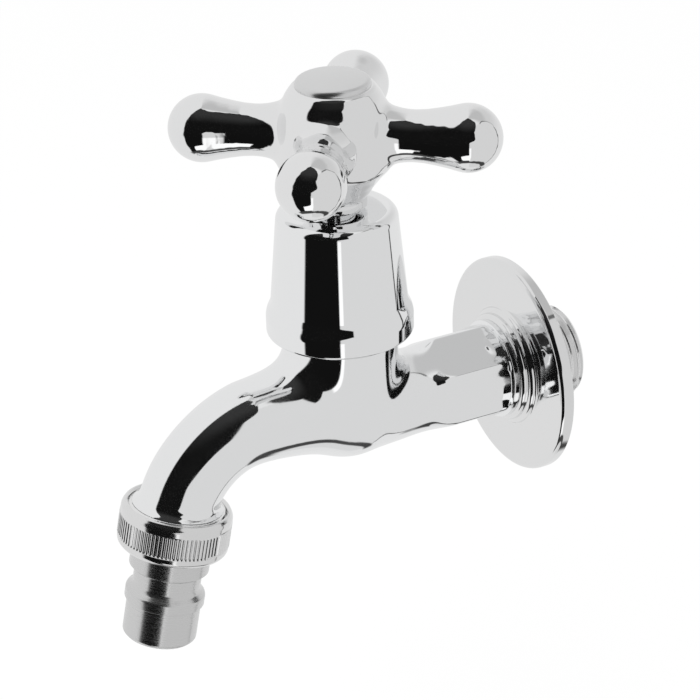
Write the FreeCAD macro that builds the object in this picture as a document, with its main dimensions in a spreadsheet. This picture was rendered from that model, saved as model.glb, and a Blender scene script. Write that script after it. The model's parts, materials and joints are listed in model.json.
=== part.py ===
"""Hose bib with a cross handle: a chromed cast body with its headwork, wall rosette and hose union.

Frame: origin on the inlet axis at the wall plane, +Z up along the valve stem, +Y into the wall,
the spout pointing towards -Y. Every length is in millimetres.
"""

import FreeCAD
import Part
import math
import os
import Sketcher
from FreeCAD import Placement, Rotation, Vector

# Driving sizes: name -> (value, what it measures)
SIZES = {
    # Body casting; heights are taken from the inlet axis
    "valve_reach": (43.7, "wall plane to valve axis"),
    "thread_radius": (10.4775, "G1/2 thread over its crests"),
    "thread_length": (11.6, "inlet thread beyond the wall plane"),
    "thread_start": (1.0, "inlet thread in front of the wall plane"),
    "neck_radius": (10.2, "radius of the neck between the shoulder and the thread"),
    "shoulder_radius": (11.0, "radius of the shoulder the rosette bears on"),
    "shoulder_width": (1.3, "width of that shoulder"),
    "thread_chamfer": (1.0, "chamfer on a thread end"),
    "inlet_bore": (6.5, "radius of the inlet water way"),
    "inlet_tube": (9.6, "radius of the inlet tube"),
    "hex_flats": (19.6, "spanner flats on the inlet"),
    "hex_length": (14.5, "length of the spanner flats"),
    "hex_start": (21.0, "valve axis to spanner flats"),
    "hex_rounding": (1.4, "radius on the corners of the spanner flats"),
    "chamber_radius": (12.2, "outer radius of the valve chamber"),
    "chamber_bore": (9.3, "inner radius of the valve chamber"),
    "rim_height": (22.0, "top rim of the valve chamber"),
    "chamber_waist": (-2.0, "height where the chamber starts to round in"),
    "chamber_foot": (-10.6, "lowest point of the chamber"),
    "diaphragm_top": (3.0, "upper face of the wall that carries the seat"),
    "socket_depth": (9.5, "depth of the thread for the bonnet"),
    "pit_radius": (6.4, "radius of the room under the seat"),
    "pit_foot": (-7.6, "floor of the room under the seat"),
    "pit_top": (0.3, "roof of the room under the seat"),
    "pit_inlet": (3.8, "radius of the way into the room under the seat"),
    "pit_inlet_height": (-3.7, "height of that way"),
    # Spout
    "root_height": (4.3, "centre height of the spout at the chamber"),
    "root_radius": (10.6, "spout radius at the chamber"),
    "spout_radius": (8.7, "spout radius in the bend"),
    "bend_radius": (19.2, "centre line radius of the spout bend"),
    "bend_start": (4.0, "slope of the spout where the bend starts, degrees"),
    "outlet_reach": (39.9, "valve axis to outlet centre"),
    "outlet_drop": (11.8, "inlet axis down to outlet centre"),
    "outlet_tilt": (11.8, "outlet axis from the vertical, degrees"),
    "outlet_bore": (5.6, "radius of the spout water way"),
    "outlet_length": (4.4, "outlet centre to the spout end face"),
    "flare_length": (2.0, "length of the flare above the outlet thread"),
    # Valve seat
    "seat_bore": (4.2, "radius of the seat opening"),
    "seat_shank": (5.6, "radius of the seat shank"),
    "seat_flange": (6.8, "radius of the seat flange"),
    "seat_thickness": (1.0, "thickness of the seat flange"),
    # Wall rosette
    "rosette_radius": (24.5, "outer radius"),
    "rosette_depth": (2.5, "wall plane to front face"),
    "rosette_sheet": (0.9, "sheet thickness"),
    "ring_one_radius": (12.8, "outer hub ring radius"),
    "ring_one_height": (1.7, "outer hub ring above the face"),
    "ring_two_radius": (11.9, "inner hub ring radius"),
    "ring_two_height": (1.5, "inner hub ring above the outer ring"),
    # Bonnet, measured from the underside of its flange
    "gasket_thickness": (0.8, "bonnet gasket"),
    "bonnet_flange": (12.0, "flange radius"),
    "flange_thickness": (2.2, "flange thickness"),
    "bonnet_thread": (8.7, "length of the lower thread"),
    "bonnet_hex_flats": (19.0, "spanner flats"),
    "bonnet_hex_top": (9.2, "top of the spanner flats"),
    "bonnet_neck": (8.2, "neck radius"),
    "bonnet_neck_top": (15.2, "top of the neck"),
    "gland_thread": (7.5, "radius of the thread for the gland nut"),
    "bonnet_top": (20.7, "top of the bonnet"),
    "guide_bore": (8.0, "radius of the room for the jumper"),
    "guide_depth": (4.0, "height of that room"),
    "stuffing_radius": (6.0, "radius of the stuffing box"),
    "stuffing_floor": (14.7, "floor of the stuffing box"),
    "web_thickness": (2.0, "web between the spindle thread and the stuffing box"),
    # Gland and shroud
    "packing_height": (2.6, "height of the packing"),
    "follower_height": (1.5, "height of the follower"),
    "gland_flats": (17.0, "spanner flats of the gland nut"),
    "gland_skirt": (2.4, "skirt below the plug face"),
    "gland_plug": (2.4, "height of the plug"),
    "gland_plate": (2.3, "thickness of the plate"),
    "gland_boss": (5.2, "radius of the boss that centres the shroud"),
    "gland_boss_height": (1.1, "height of that boss"),
    "shroud_height": (27.8, "height of the shroud"),
    "shroud_sheet": (1.2, "wall thickness of the shroud"),
    "bead_radius": (15.7, "radius of the bottom bead"),
    "bead_height": (4.4, "height of the bottom bead"),
    "bead_slope": (2.2, "height over which the bead runs into the wall"),
    "wall_foot": (14.5, "radius of the wall above the bead"),
    "wall_top": (12.7, "radius of the wall under the top rounding"),
    "shroud_rounding": (2.0, "radius of the top rounding"),
    # Spindle and jumper
    "washer_thickness": (3.0, "thickness of the valve washer"),
    "washer_radius": (6.5, "radius of the valve washer"),
    "jumper_radius": (7.2, "radius of the jumper disc"),
    "jumper_thickness": (2.7, "thickness of the jumper disc"),
    "jumper_stem": (2.5, "radius of the jumper stem"),
    "jumper_stem_length": (7.5, "length of the jumper stem"),
    "snap_height": (3.2, "jumper disc to snap ring"),
    "snap_thickness": (0.8, "thickness of the snap ring"),
    "snap_depth": (0.5, "depth of the snap ring groove in the stem"),
    "snap_width": (1.1, "radial width of the snap ring"),
    "running_gap": (0.05, "radial gap of a running fit"),
    "spindle_foot": (5.0, "radius of the spindle below its thread"),
    "spindle_thread": (5.5, "radius of the spindle thread"),
    "thread_overhang": (0.9, "spindle thread below the bonnet thread"),
    "lift_room": (5.5, "room above the spindle thread for the full lift"),
    "stem_radius": (4.0, "radius of the spindle stem"),
    "handle_gap": (1.0, "gap between the shroud and the handle when shut"),
    "square_side": (5.5, "side of the square"),
    "square_height": (8.7, "height of the square"),
    # Handle, measured from the underside of its collar
    "collar_radius": (6.6, "collar radius"),
    "collar_height": (2.3, "collar height"),
    "collar_bore_depth": (0.8, "round bore below the square socket"),
    "hub_radius": (12.4, "hub radius at the arms"),
    "hub_foot": (9.2, "height where the hub is full"),
    "hub_shoulder": (18.0, "height where the hub starts to close"),
    "hub_top": (25.4, "top of the hub"),
    "arm_height": (15.84, "height of the arm axes"),
    "arm_root": (6.4, "arm radius at the hub"),
    "arm_neck": (5.4, "smallest arm radius"),
    "arm_neck_reach": (16.8, "valve axis to the smallest arm radius"),
    "arm_swell": (6.4, "arm radius where it meets the ball"),
    "arm_swell_reach": (24.5, "valve axis to that place"),
    "ball_radius": (7.16, "radius of the ball ends"),
    "ball_reach": (27.71, "valve axis to the ball centres"),
    "handle_turn": (37.3, "handle arms turned from the wall axis, degrees"),
    "web_height": (2.8, "web between the socket and the screw head"),
    "recess_radius": (5.0, "radius of the recess for screw and cap"),
    "screw_radius": (2.0, "radius of the handle screw"),
    "screw_length": (10.0, "length of the handle screw"),
    "screw_head": (3.6, "radius of the screw head"),
    "screw_head_height": (2.6, "height of the screw head"),
    "spring_thickness": (0.9, "thickness of the spring washer"),
    "cap_radius": (7.95, "radius of the cap"),
    "cap_rim": (1.4, "height of the cap rim"),
    "cap_dome": (1.5, "rise of the cap dome"),
    "cap_plug": (4.4, "depth of the cap plug"),
    # Hose union, measured along the outlet axis from the nut's upper edge
    "nut_height": (9.6, "height of the nut"),
    "nut_radius": (12.2, "radius of the knurled band"),
    "nut_lip": (11.4, "radius of the upper lip"),
    "nut_foot": (11.7, "radius of the lower edge"),
    "band_top": (2.6, "start of the knurled band"),
    "band_foot": (7.6, "end of the knurled band"),
    "nut_floor": (2.1, "thickness of the floor that holds the nozzle"),
    "thread_gap": (0.07, "radial gap between the nut and the outlet thread"),
    "seal_thickness": (1.5, "thickness of the nozzle washer"),
    "seal_radius": (10.0, "outer radius of the nozzle washer"),
    "nozzle_flange": (9.9, "radius of the nozzle flange"),
    "nozzle_stub": (8.6, "radius of the nozzle below the nut"),
    "stub_gap": (0.35, "radial gap around the stub in the nut"),
    "stub_end": (14.7, "end of the stub"),
    "nozzle_neck": (7.3, "radius of the nozzle neck"),
    "neck_end": (18.8, "end of the neck"),
    "nozzle_collar": (8.6, "radius of the nozzle collar"),
    "collar_start": (20.0, "start of the collar"),
    "collar_end": (22.4, "end of the collar"),
    "hose_end_radius": (8.0, "radius of the hose end"),
    "nozzle_end": (30.9, "end of the nozzle"),
    "end_chamfer": (0.6, "chamfer on the hose end"),
}

# Heights of the headwork pieces above the inlet axis, bottom to top
SEAT_FACE = "dim.diaphragm_top + dim.seat_thickness"
JUMPER_FOOT = SEAT_FACE + " + dim.washer_thickness"
SPINDLE_FOOT = JUMPER_FOOT + " + dim.jumper_thickness"
BONNET_SEAT = "dim.rim_height + dim.gasket_thickness"
PACKING_SEAT = BONNET_SEAT + " + dim.stuffing_floor"
FOLLOWER_SEAT = PACKING_SEAT + " + dim.packing_height"
GLAND_SEAT = FOLLOWER_SEAT + " + dim.follower_height"
SHROUD_FOOT = (GLAND_SEAT + " + dim.gland_plug + dim.gland_plate + dim.shroud_sheet"
               " - dim.shroud_height")
HANDLE_FOOT = SHROUD_FOOT + " + dim.shroud_height + dim.handle_gap"
STEM_TOP = f"({HANDLE_FOOT} + dim.collar_bore_depth - ({SPINDLE_FOOT}))"
THREAD_FOOT = (f"({BONNET_SEAT} - dim.bonnet_thread + dim.guide_depth - dim.thread_overhang"
               f" - ({SPINDLE_FOOT}))")
THREAD_TOP = (f"({PACKING_SEAT} - dim.web_thickness - dim.lift_room"
              f" - ({SPINDLE_FOOT}))")
SCREW_SEAT = ("dim.collar_bore_depth + dim.square_height + dim.web_height")

doc = FreeCAD.newDocument("HoseBib")


def make_sheet():
    """Write the driving sizes into the spreadsheet the sub-parts are bound to."""
    sheet = doc.addObject("Spreadsheet::Sheet", "dim")
    for row, (name, (value, meaning)) in enumerate(SIZES.items(), start=1):
        sheet.set(f"A{row}", name)
        sheet.set(f"B{row}", str(value))
        sheet.set(f"C{row}", meaning)
        sheet.setAlias(f"B{row}", name)
    doc.recompute()
    return sheet


def new_body(label):
    """Start a sub-part."""
    body = doc.addObject("PartDesign::Body", label)
    body.Label = label
    return body


def on_valve_axis(body, height="0"):
    """Stand a sub-part on the valve axis, its own zero at the given height."""
    body.setExpression("Placement.Base.y", "-dim.valve_reach")
    body.setExpression("Placement.Base.z", height)


def with_the_handle(body):
    """Turn a sub-part about the stem as far as the handle is turned at rest."""
    body.Placement = Placement(Vector(0, 0, 0), Rotation(Vector(0, 0, 1), 10))
    body.setExpression("Placement.Rotation.Angle", "90 - dim.handle_turn")


def on_outlet_axis(body):
    """Hang a sub-part on the outlet axis, its own +Z pointing out of the spout."""
    body.Placement = Placement(Vector(0, 0, 0), Rotation(Vector(1, 0, 0), 160))
    body.setExpression("Placement.Rotation.Angle", "180 - dim.outlet_tilt")
    body.setExpression("Placement.Base.y", "-dim.valve_reach - dim.outlet_reach")
    body.setExpression("Placement.Base.z", "-dim.outlet_drop")


def new_sketch(body, name, role):
    """Lay an empty sketch on one of the body's own origin planes."""
    sketch = body.newObject("Sketcher::SketchObject", name)
    plane = [item for item in body.Origin.OriginFeatures if item.Role == role][0]
    sketch.AttachmentSupport = [(plane, "")]
    sketch.MapMode = "FlatFace"
    return sketch


def draw_outline(sketch, corners):
    """Draw a closed outline whose corners follow pairs of expressions."""
    count = len(corners)
    start = [Vector(20 * math.cos(2 * math.pi * k / count), 20 * math.sin(2 * math.pi * k / count), 0)
             for k in range(count)]
    for k in range(count):
        sketch.addGeometry(Part.LineSegment(start[k], start[(k + 1) % count]), False)
    for k in range(count):
        sketch.addConstraint(Sketcher.Constraint("Coincident", k, 2, (k + 1) % count, 1))
    for k, (across, along) in enumerate(corners):
        for kind, value in (("DistanceX", across), ("DistanceY", along)):
            first = start[k].x if kind == "DistanceX" else start[k].y
            index = sketch.addConstraint(Sketcher.Constraint(kind, -1, 1, k, 1, first))
            sketch.setExpression(f"Constraints[{index}]", value)


def draw_circle(sketch, radius):
    """Draw a circle about the sketch's origin."""
    sketch.addGeometry(Part.Circle(Vector(0, 0, 0), Vector(0, 0, 1), 5), False)
    sketch.addConstraint(Sketcher.Constraint("Coincident", 0, 3, -1, 1))
    index = sketch.addConstraint(Sketcher.Constraint("Radius", 0, 5))
    sketch.setExpression(f"Constraints[{index}]", radius)


def draw_half_disc(sketch, reach, radius):
    """Draw a half disc standing on the sketch's horizontal axis."""
    centre = Vector(20, 0, 0)
    arc = Part.ArcOfCircle(Part.Circle(centre, Vector(0, 0, 1), 5), 0, math.pi)
    sketch.addGeometry(arc, False)
    sketch.addGeometry(Part.LineSegment(Vector(15, 0, 0), Vector(25, 0, 0)), False)
    sketch.addConstraint(Sketcher.Constraint("Coincident", 0, 2, 1, 1))
    sketch.addConstraint(Sketcher.Constraint("Coincident", 1, 2, 0, 1))
    sketch.addConstraint(Sketcher.Constraint("PointOnObject", 0, 1, -1))
    sketch.addConstraint(Sketcher.Constraint("PointOnObject", 0, 2, -1))
    sketch.addConstraint(Sketcher.Constraint("PointOnObject", 0, 3, -1))
    index = sketch.addConstraint(Sketcher.Constraint("DistanceX", -1, 1, 0, 3, 20))
    sketch.setExpression(f"Constraints[{index}]", reach)
    index = sketch.addConstraint(Sketcher.Constraint("Radius", 0, 5))
    sketch.setExpression(f"Constraints[{index}]", radius)


def turn(body, name, corners, kind="PartDesign::Revolution", role="XZ_Plane", axis="V_Axis"):
    """Turn an outline about an axis, adding or cutting as the kind says."""
    sketch = new_sketch(body, name + "_outline", role)
    draw_outline(sketch, corners)
    feature = body.newObject(kind, name)
    feature.Profile = sketch
    feature.ReferenceAxis = (sketch, [axis])
    feature.Angle = 360
    sketch.Visibility = False
    return feature


def bore(body, name, corners, role="XZ_Plane", axis="V_Axis"):
    """Cut a turned outline out of the body."""
    return turn(body, name, corners, "PartDesign::Groove", role, axis)


def turn_on_outlet(body, name, corners, kind):
    """Turn an outline about the outlet axis of the casting."""
    feature = turn(body, name, corners, kind, "YZ_Plane", "V_Axis")
    sketch = feature.Profile[0]
    sketch.AttachmentOffset = Placement(Vector(0, 0, 0), Rotation(Vector(0, 0, 1), 160))
    sketch.setExpression("AttachmentOffset.Rotation.Angle", "180 - dim.outlet_tilt")
    sketch.setExpression("AttachmentOffset.Base.x", "-dim.outlet_reach")
    sketch.setExpression("AttachmentOffset.Base.y", "-dim.outlet_drop")
    return feature


def hexagon(flats):
    """Corners of a hexagon whose flats face sideways."""
    half = f"{flats} / 2"
    corner = f"{flats} / 2 * tan(30 deg)"
    tip = f"{flats} / 2 / cos(30 deg)"
    return [(half, f"-{corner}"), (half, corner), ("0", tip),
            (f"-{half}", corner), (f"-{half}", f"-{corner}"), ("0", f"-{tip}")]


def pad(body, name, sketch, length):
    """Raise a sketch."""
    feature = body.newObject("PartDesign::Pad", name)
    feature.Profile = sketch
    feature.setExpression("Length", length)
    sketch.Visibility = False
    return feature


def pocket(body, name, sketch, length):
    """Sink a sketch below its plane."""
    feature = body.newObject("PartDesign::Pocket", name)
    feature.Profile = sketch
    feature.setExpression("Length", length)
    sketch.Visibility = False
    return feature


def tube_sections(body, name, sections):
    """Lay circles square to a centre line in the plane of the valve and the spout."""
    rings = []
    for number, (reach, height, slope, radius) in enumerate(sections):
        sketch = new_sketch(body, f"{name}_{number}", "XY_Plane")
        draw_circle(sketch, radius)
        sketch.AttachmentOffset = Placement(Vector(0, 0, 0), Rotation(Vector(1, 0, 0), 90))
        sketch.setExpression("AttachmentOffset.Base.y", f"-({reach})")
        sketch.setExpression("AttachmentOffset.Base.z", height)
        sketch.setExpression("AttachmentOffset.Rotation.Angle", f"90 + ({slope})")
        sketch.Visibility = False
        rings.append(sketch)
    return rings


def loft(body, name, rings, kind):
    """Run a smooth skin through the rings."""
    feature = body.newObject(kind, name)
    feature.Profile = rings[0]
    feature.Sections = rings[1:]
    return feature


def bend_point(share):
    """Reach, height and slope on the spout bend, from 0 at its start to 1 at the outlet."""
    slope = f"(dim.bend_start + (90 - dim.outlet_tilt - dim.bend_start) * {share})"
    reach = (f"dim.outlet_reach - dim.bend_radius * (cos(dim.outlet_tilt * 1 deg)"
             f" - sin({slope} * 1 deg))")
    height = (f"-dim.outlet_drop + dim.bend_radius * (cos({slope} * 1 deg)"
              f" - sin(dim.outlet_tilt * 1 deg))")
    return reach, height, slope


def edges_along(shape, direction, lowest, highest):
    """Names of the straight edges that run along a direction between two places on it."""
    names = []
    for number, edge in enumerate(shape.Edges, start=1):
        if edge.Curve.TypeId != "Part::GeomLine":
            continue
        if abs(edge.tangentAt(edge.FirstParameter).dot(direction)) < 0.999:
            continue
        if lowest <= edge.CenterOfMass.dot(direction) <= highest:
            names.append(f"Edge{number}")
    return names


def rounded(body, name, base, edges, radius):
    """Round some edges of a feature."""
    feature = body.newObject("PartDesign::Fillet", name)
    feature.Base = (base, edges)
    feature.setExpression("Radius", radius)
    return feature


def circle_edges(shape, radius, height):
    """Names of the circular edges of a radius at a height."""
    names = []
    for number, edge in enumerate(shape.Edges, start=1):
        if edge.Curve.TypeId != "Part::GeomCircle":
            continue
        if abs(edge.Curve.Radius - radius) < 1e-3 and abs(edge.CenterOfMass.z - height) < 1e-3:
            names.append(f"Edge{number}")
    return names


def make_body():
    """Cast body: spanner flats, inlet tube and thread, valve chamber, spout and water ways."""
    body = new_body("body")
    flats = new_sketch(body, "flats_outline", "XZ_Plane")
    draw_outline(flats, hexagon("dim.hex_flats"))
    flats.setExpression("AttachmentOffset.Base.z", "-dim.hex_start - dim.hex_length")
    flats_pad = pad(body, "flats", flats, "dim.hex_length")
    doc.recompute()
    corners = edges_along(flats_pad.Shape, Vector(0, 1, 0), 0, 100)
    rounded(body, "flats_rounding", flats_pad, corners, "dim.hex_rounding")

    shank = "dim.valve_reach - dim.thread_start"
    end = "dim.valve_reach + dim.thread_length"
    stop = ("dim.valve_reach - dim.rosette_depth - dim.ring_one_height"
            " - dim.ring_two_height")
    turn(body, "inlet", [
        ("0", "0"), (end, "0"), (end, "dim.thread_radius - dim.thread_chamfer"),
        (end + " - dim.thread_chamfer", "dim.thread_radius"), (shank, "dim.thread_radius"),
        (shank, "dim.neck_radius"), (stop, "dim.neck_radius"), (stop, "dim.shoulder_radius"),
        (stop + " - dim.shoulder_width", "dim.shoulder_radius"),
        (stop + " - dim.shoulder_width", "dim.inlet_tube"), ("0", "dim.inlet_tube"),
    ], role="YZ_Plane", axis="H_Axis")
    turn(body, "chamber", [
        ("0", "dim.rim_height"), ("dim.chamber_radius", "dim.rim_height"),
        ("dim.chamber_radius", "dim.chamber_waist"),
        ("dim.chamber_radius * 0.86", "dim.chamber_waist * 0.4 + dim.chamber_foot * 0.6"),
        ("dim.chamber_radius * 0.5", "dim.chamber_foot * 0.97"), ("0", "dim.chamber_foot"),
    ])
    outside = [
        ("4", "dim.root_height", "0", "dim.root_radius"),
        ("dim.outlet_reach * 0.4", "dim.root_height - 0.2", "2",
         "dim.root_radius * 0.8 + dim.spout_radius * 0.2"),
        bend_point("0") + ("dim.root_radius * 0.3 + dim.spout_radius * 0.7",),
        bend_point("0.3") + ("dim.root_radius * 0.07 + dim.spout_radius * 0.93",),
        bend_point("0.6") + ("dim.spout_radius",),
        bend_point("0.85") + ("dim.spout_radius",),
        bend_point("1") + ("dim.spout_radius",),
    ]
    loft(body, "spout", tube_sections(body, "spout_ring", outside), "PartDesign::AdditiveLoft")
    turn_on_outlet(body, "outlet", [
        ("0", "-dim.flare_length * 0.5"), ("dim.spout_radius - 0.4", "-dim.flare_length * 0.5"),
        ("dim.thread_radius", "dim.flare_length * 0.5"),
        ("dim.thread_radius", "dim.outlet_length - dim.thread_chamfer * 0.5"),
        ("dim.thread_radius - dim.thread_chamfer * 0.5", "dim.outlet_length"),
        ("0", "dim.outlet_length"),
    ], "PartDesign::Revolution")

    bore(body, "chamber_bore", [
        ("0", "dim.diaphragm_top"), ("dim.chamber_bore", "dim.diaphragm_top"),
        ("dim.chamber_bore", "dim.rim_height - dim.socket_depth"),
        ("dim.thread_radius", "dim.rim_height - dim.socket_depth"),
        ("dim.thread_radius", "dim.rim_height + 1"), ("0", "dim.rim_height + 1"),
    ])
    bore(body, "seat_hole", [
        ("0", "dim.pit_foot"), ("dim.pit_radius * 0.7", "dim.pit_foot"),
        ("dim.pit_radius", "dim.pit_foot * 0.7"), ("dim.pit_radius", "dim.pit_top"),
        ("dim.seat_shank", "dim.pit_top"), ("dim.seat_shank", "dim.diaphragm_top + 1"),
        ("0", "dim.diaphragm_top + 1"),
    ])
    wall_side = "dim.chamber_bore + 4.7"
    bore(body, "inlet_bore", [
        (wall_side, "0"), (wall_side, "dim.inlet_bore"), (end + " + 1", "dim.inlet_bore"),
        (end + " + 1", "0"),
    ], role="YZ_Plane", axis="H_Axis")
    cross = new_sketch(body, "pit_inlet_outline", "XZ_Plane")
    draw_circle(cross, "dim.pit_inlet")
    cross.setExpression("AttachmentOffset.Base.y", "dim.pit_inlet_height")
    cross.setExpression("AttachmentOffset.Base.z", f"-({wall_side}) - 1")
    cut = pocket(body, "pit_inlet", cross, f"{wall_side} + 1 - dim.pit_radius * 0.5")
    cut.Reversed = True
    inside = [
        ("1", "dim.diaphragm_top + dim.outlet_bore", "0", "dim.outlet_bore * 0.88"),
        ("dim.chamber_bore * 1.35", "dim.diaphragm_top + dim.outlet_bore - 1.5", "10",
         "dim.outlet_bore * 0.9"),
        bend_point("0.08") + ("dim.outlet_bore",),
        bend_point("0.4") + ("dim.outlet_bore",),
        bend_point("0.7") + ("dim.outlet_bore",),
        bend_point("1") + ("dim.outlet_bore",),
    ]
    loft(body, "water_way", tube_sections(body, "way_ring", inside), "PartDesign::SubtractiveLoft")
    counterbore = "dim.outlet_bore + 0.4"
    turn_on_outlet(body, "outlet_bore", [
        ("0", "-0.5"), (counterbore, "-0.5"), (counterbore, "dim.outlet_length + 1"),
        ("0", "dim.outlet_length + 1"),
    ], "PartDesign::Groove")
    body.setExpression("Placement.Base.y", "-dim.valve_reach")
    return body


def make_valve_seat():
    """Screwed-in seat ring the washer closes on."""
    body = new_body("valve_seat")
    turn(body, "ring", [
        ("dim.seat_bore", "dim.pit_top"), ("dim.seat_shank", "dim.pit_top"),
        ("dim.seat_shank", "dim.diaphragm_top"), ("dim.seat_flange", "dim.diaphragm_top"),
        ("dim.seat_flange", SEAT_FACE + " - 0.5"), ("dim.seat_flange - 1.2", SEAT_FACE),
        ("dim.seat_bore", SEAT_FACE),
    ])
    on_valve_axis(body)
    return body


def make_wall_flange():
    """Pressed rosette with a folded rim and a stepped hub."""
    body = new_body("wall_flange")
    face = "-dim.rosette_depth"
    step = face + " - dim.ring_one_height"
    front = step + " - dim.ring_two_height"
    turn(body, "rosette", [
        ("0", "dim.rosette_radius"), (face + " + 0.7", "dim.rosette_radius"),
        (face, "dim.rosette_radius - 0.7"), (face, "dim.ring_one_radius + 0.6"),
        (step + " + 0.5", "dim.ring_one_radius"), (step, "dim.ring_one_radius - 0.5"),
        (step, "dim.ring_two_radius + 0.2"), (front + " + 0.5", "dim.ring_two_radius"),
        (front, "dim.ring_two_radius - 0.5"), (front, "dim.thread_radius"),
        (face + " + dim.rosette_sheet", "dim.thread_radius"),
        (face + " + dim.rosette_sheet", "dim.rosette_radius - dim.rosette_sheet"),
        ("0", "dim.rosette_radius - dim.rosette_sheet"),
    ], role="YZ_Plane", axis="H_Axis")
    return body


def make_bonnet_gasket():
    """Flat ring between the chamber rim and the bonnet flange."""
    body = new_body("bonnet_gasket")
    turn(body, "ring", [
        ("dim.thread_radius + 0.1", "0"), ("dim.bonnet_flange", "0"),
        ("dim.bonnet_flange", "dim.gasket_thickness"),
        ("dim.thread_radius + 0.1", "dim.gasket_thickness"),
    ])
    on_valve_axis(body, "dim.rim_height")
    return body


def make_bonnet():
    """Headwork housing: thread, flange, spanner flats, neck and stuffing box."""
    body = new_body("bonnet")
    turn(body, "turned", [
        ("0", "-dim.bonnet_thread"), ("dim.thread_radius - 0.5", "-dim.bonnet_thread"),
        ("dim.thread_radius", "-dim.bonnet_thread + 0.5"), ("dim.thread_radius", "0"),
        ("dim.bonnet_flange", "0"), ("dim.bonnet_flange", "dim.flange_thickness"),
        ("dim.bonnet_neck", "dim.flange_thickness"), ("dim.bonnet_neck", "dim.bonnet_neck_top"),
        ("dim.gland_thread", "dim.bonnet_neck_top"), ("dim.gland_thread", "dim.bonnet_top - 0.4"),
        ("dim.gland_thread - 0.4", "dim.bonnet_top"), ("0", "dim.bonnet_top"),
    ])
    flats = new_sketch(body, "flats_outline", "XY_Plane")
    draw_outline(flats, hexagon("dim.bonnet_hex_flats"))
    pad(body, "flats", flats, "dim.bonnet_hex_top")
    web = "dim.stuffing_floor - dim.web_thickness"
    spindle_bore = "dim.spindle_thread + dim.running_gap"
    bore(body, "stepped_bore", [
        ("0", "-dim.bonnet_thread - 1"), ("dim.guide_bore", "-dim.bonnet_thread - 1"),
        ("dim.guide_bore", "dim.guide_depth - dim.bonnet_thread"),
        (spindle_bore, "dim.guide_depth - dim.bonnet_thread"), (spindle_bore, web),
        ("dim.stem_radius + 0.35", web), ("dim.stem_radius + 0.35", "dim.stuffing_floor"),
        ("dim.stuffing_radius", "dim.stuffing_floor"), ("dim.stuffing_radius", "dim.bonnet_top + 1"),
        ("0", "dim.bonnet_top + 1"),
    ])
    on_valve_axis(body, BONNET_SEAT)
    return body


def make_plain_ring(label, inner, outer, height, seat):
    """Plain ring on the valve axis."""
    body = new_body(label)
    turn(body, "ring", [(inner, "0"), (outer, "0"), (outer, height), (inner, height)])
    on_valve_axis(body, seat)
    return body


def make_gland_nut():
    """Hexagon nut whose plug presses on the packing and whose boss centres the shroud."""
    body = new_body("gland_nut")
    flats = new_sketch(body, "flats_outline", "XY_Plane")
    draw_outline(flats, hexagon("dim.gland_flats"))
    flats.setExpression("AttachmentOffset.Base.z", "-dim.gland_skirt")
    pad(body, "flats", flats, "dim.gland_skirt + dim.gland_plug + dim.gland_plate")
    top = "dim.gland_plug + dim.gland_plate"
    hole = "dim.stem_radius + 0.35"
    turn(body, "boss", [
        ("0", "dim.gland_plug"), ("dim.gland_boss", "dim.gland_plug"),
        ("dim.gland_boss", top + " + dim.gland_boss_height"),
        ("0", top + " + dim.gland_boss_height"),
    ])
    bore(body, "stepped_bore", [
        ("0", "-dim.gland_skirt - 1"), ("dim.gland_thread", "-dim.gland_skirt - 1"),
        ("dim.gland_thread", "dim.gland_plug"), ("dim.stuffing_radius", "dim.gland_plug"),
        ("dim.stuffing_radius", "0"), (hole, "0"), (hole, top + " + dim.gland_boss_height + 1"),
        ("0", top + " + dim.gland_boss_height + 1"),
    ])
    on_valve_axis(body, GLAND_SEAT)
    return body


def make_bonnet_shroud():
    """Bell-shaped cover with a beaded foot and a rounded top."""
    body = new_body("bonnet_shroud")
    slope = "(dim.bead_height + dim.bead_slope)"
    wall = turn(body, "bell", [
        ("0", "0.6"), ("dim.bead_radius - 0.15", "0"), ("dim.bead_radius", "0.6"),
        ("dim.bead_radius", "dim.bead_height"), ("dim.wall_foot", slope),
        ("dim.wall_top", "dim.shroud_height"), ("0", "dim.shroud_height"),
    ])
    doc.recompute()
    top = circle_edges(wall.Shape, SIZES["wall_top"][0], SIZES["shroud_height"][0])
    rounded(body, "top_rounding", wall, top, "dim.shroud_rounding")
    inner_foot = "dim.bead_radius - dim.shroud_sheet"
    bore(body, "hollow", [
        ("0", "-1"), (inner_foot, "-1"), (inner_foot, "dim.bead_height - 0.5"),
        ("dim.wall_foot - dim.shroud_sheet", slope),
        ("dim.wall_top - dim.shroud_sheet", "dim.shroud_height - dim.shroud_sheet - 1"),
        ("dim.wall_top - dim.shroud_sheet - 1", "dim.shroud_height - dim.shroud_sheet"),
        ("dim.gland_boss", "dim.shroud_height - dim.shroud_sheet"),
        ("dim.gland_boss", "dim.shroud_height + 1"), ("0", "dim.shroud_height + 1"),
    ])
    on_valve_axis(body, SHROUD_FOOT)
    return body


def make_valve_washer():
    """Rubber disc that closes the seat."""
    return make_plain_ring("valve_washer", "dim.screw_radius * 0.75", "dim.washer_radius",
                           "dim.washer_thickness", SEAT_FACE)


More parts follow.
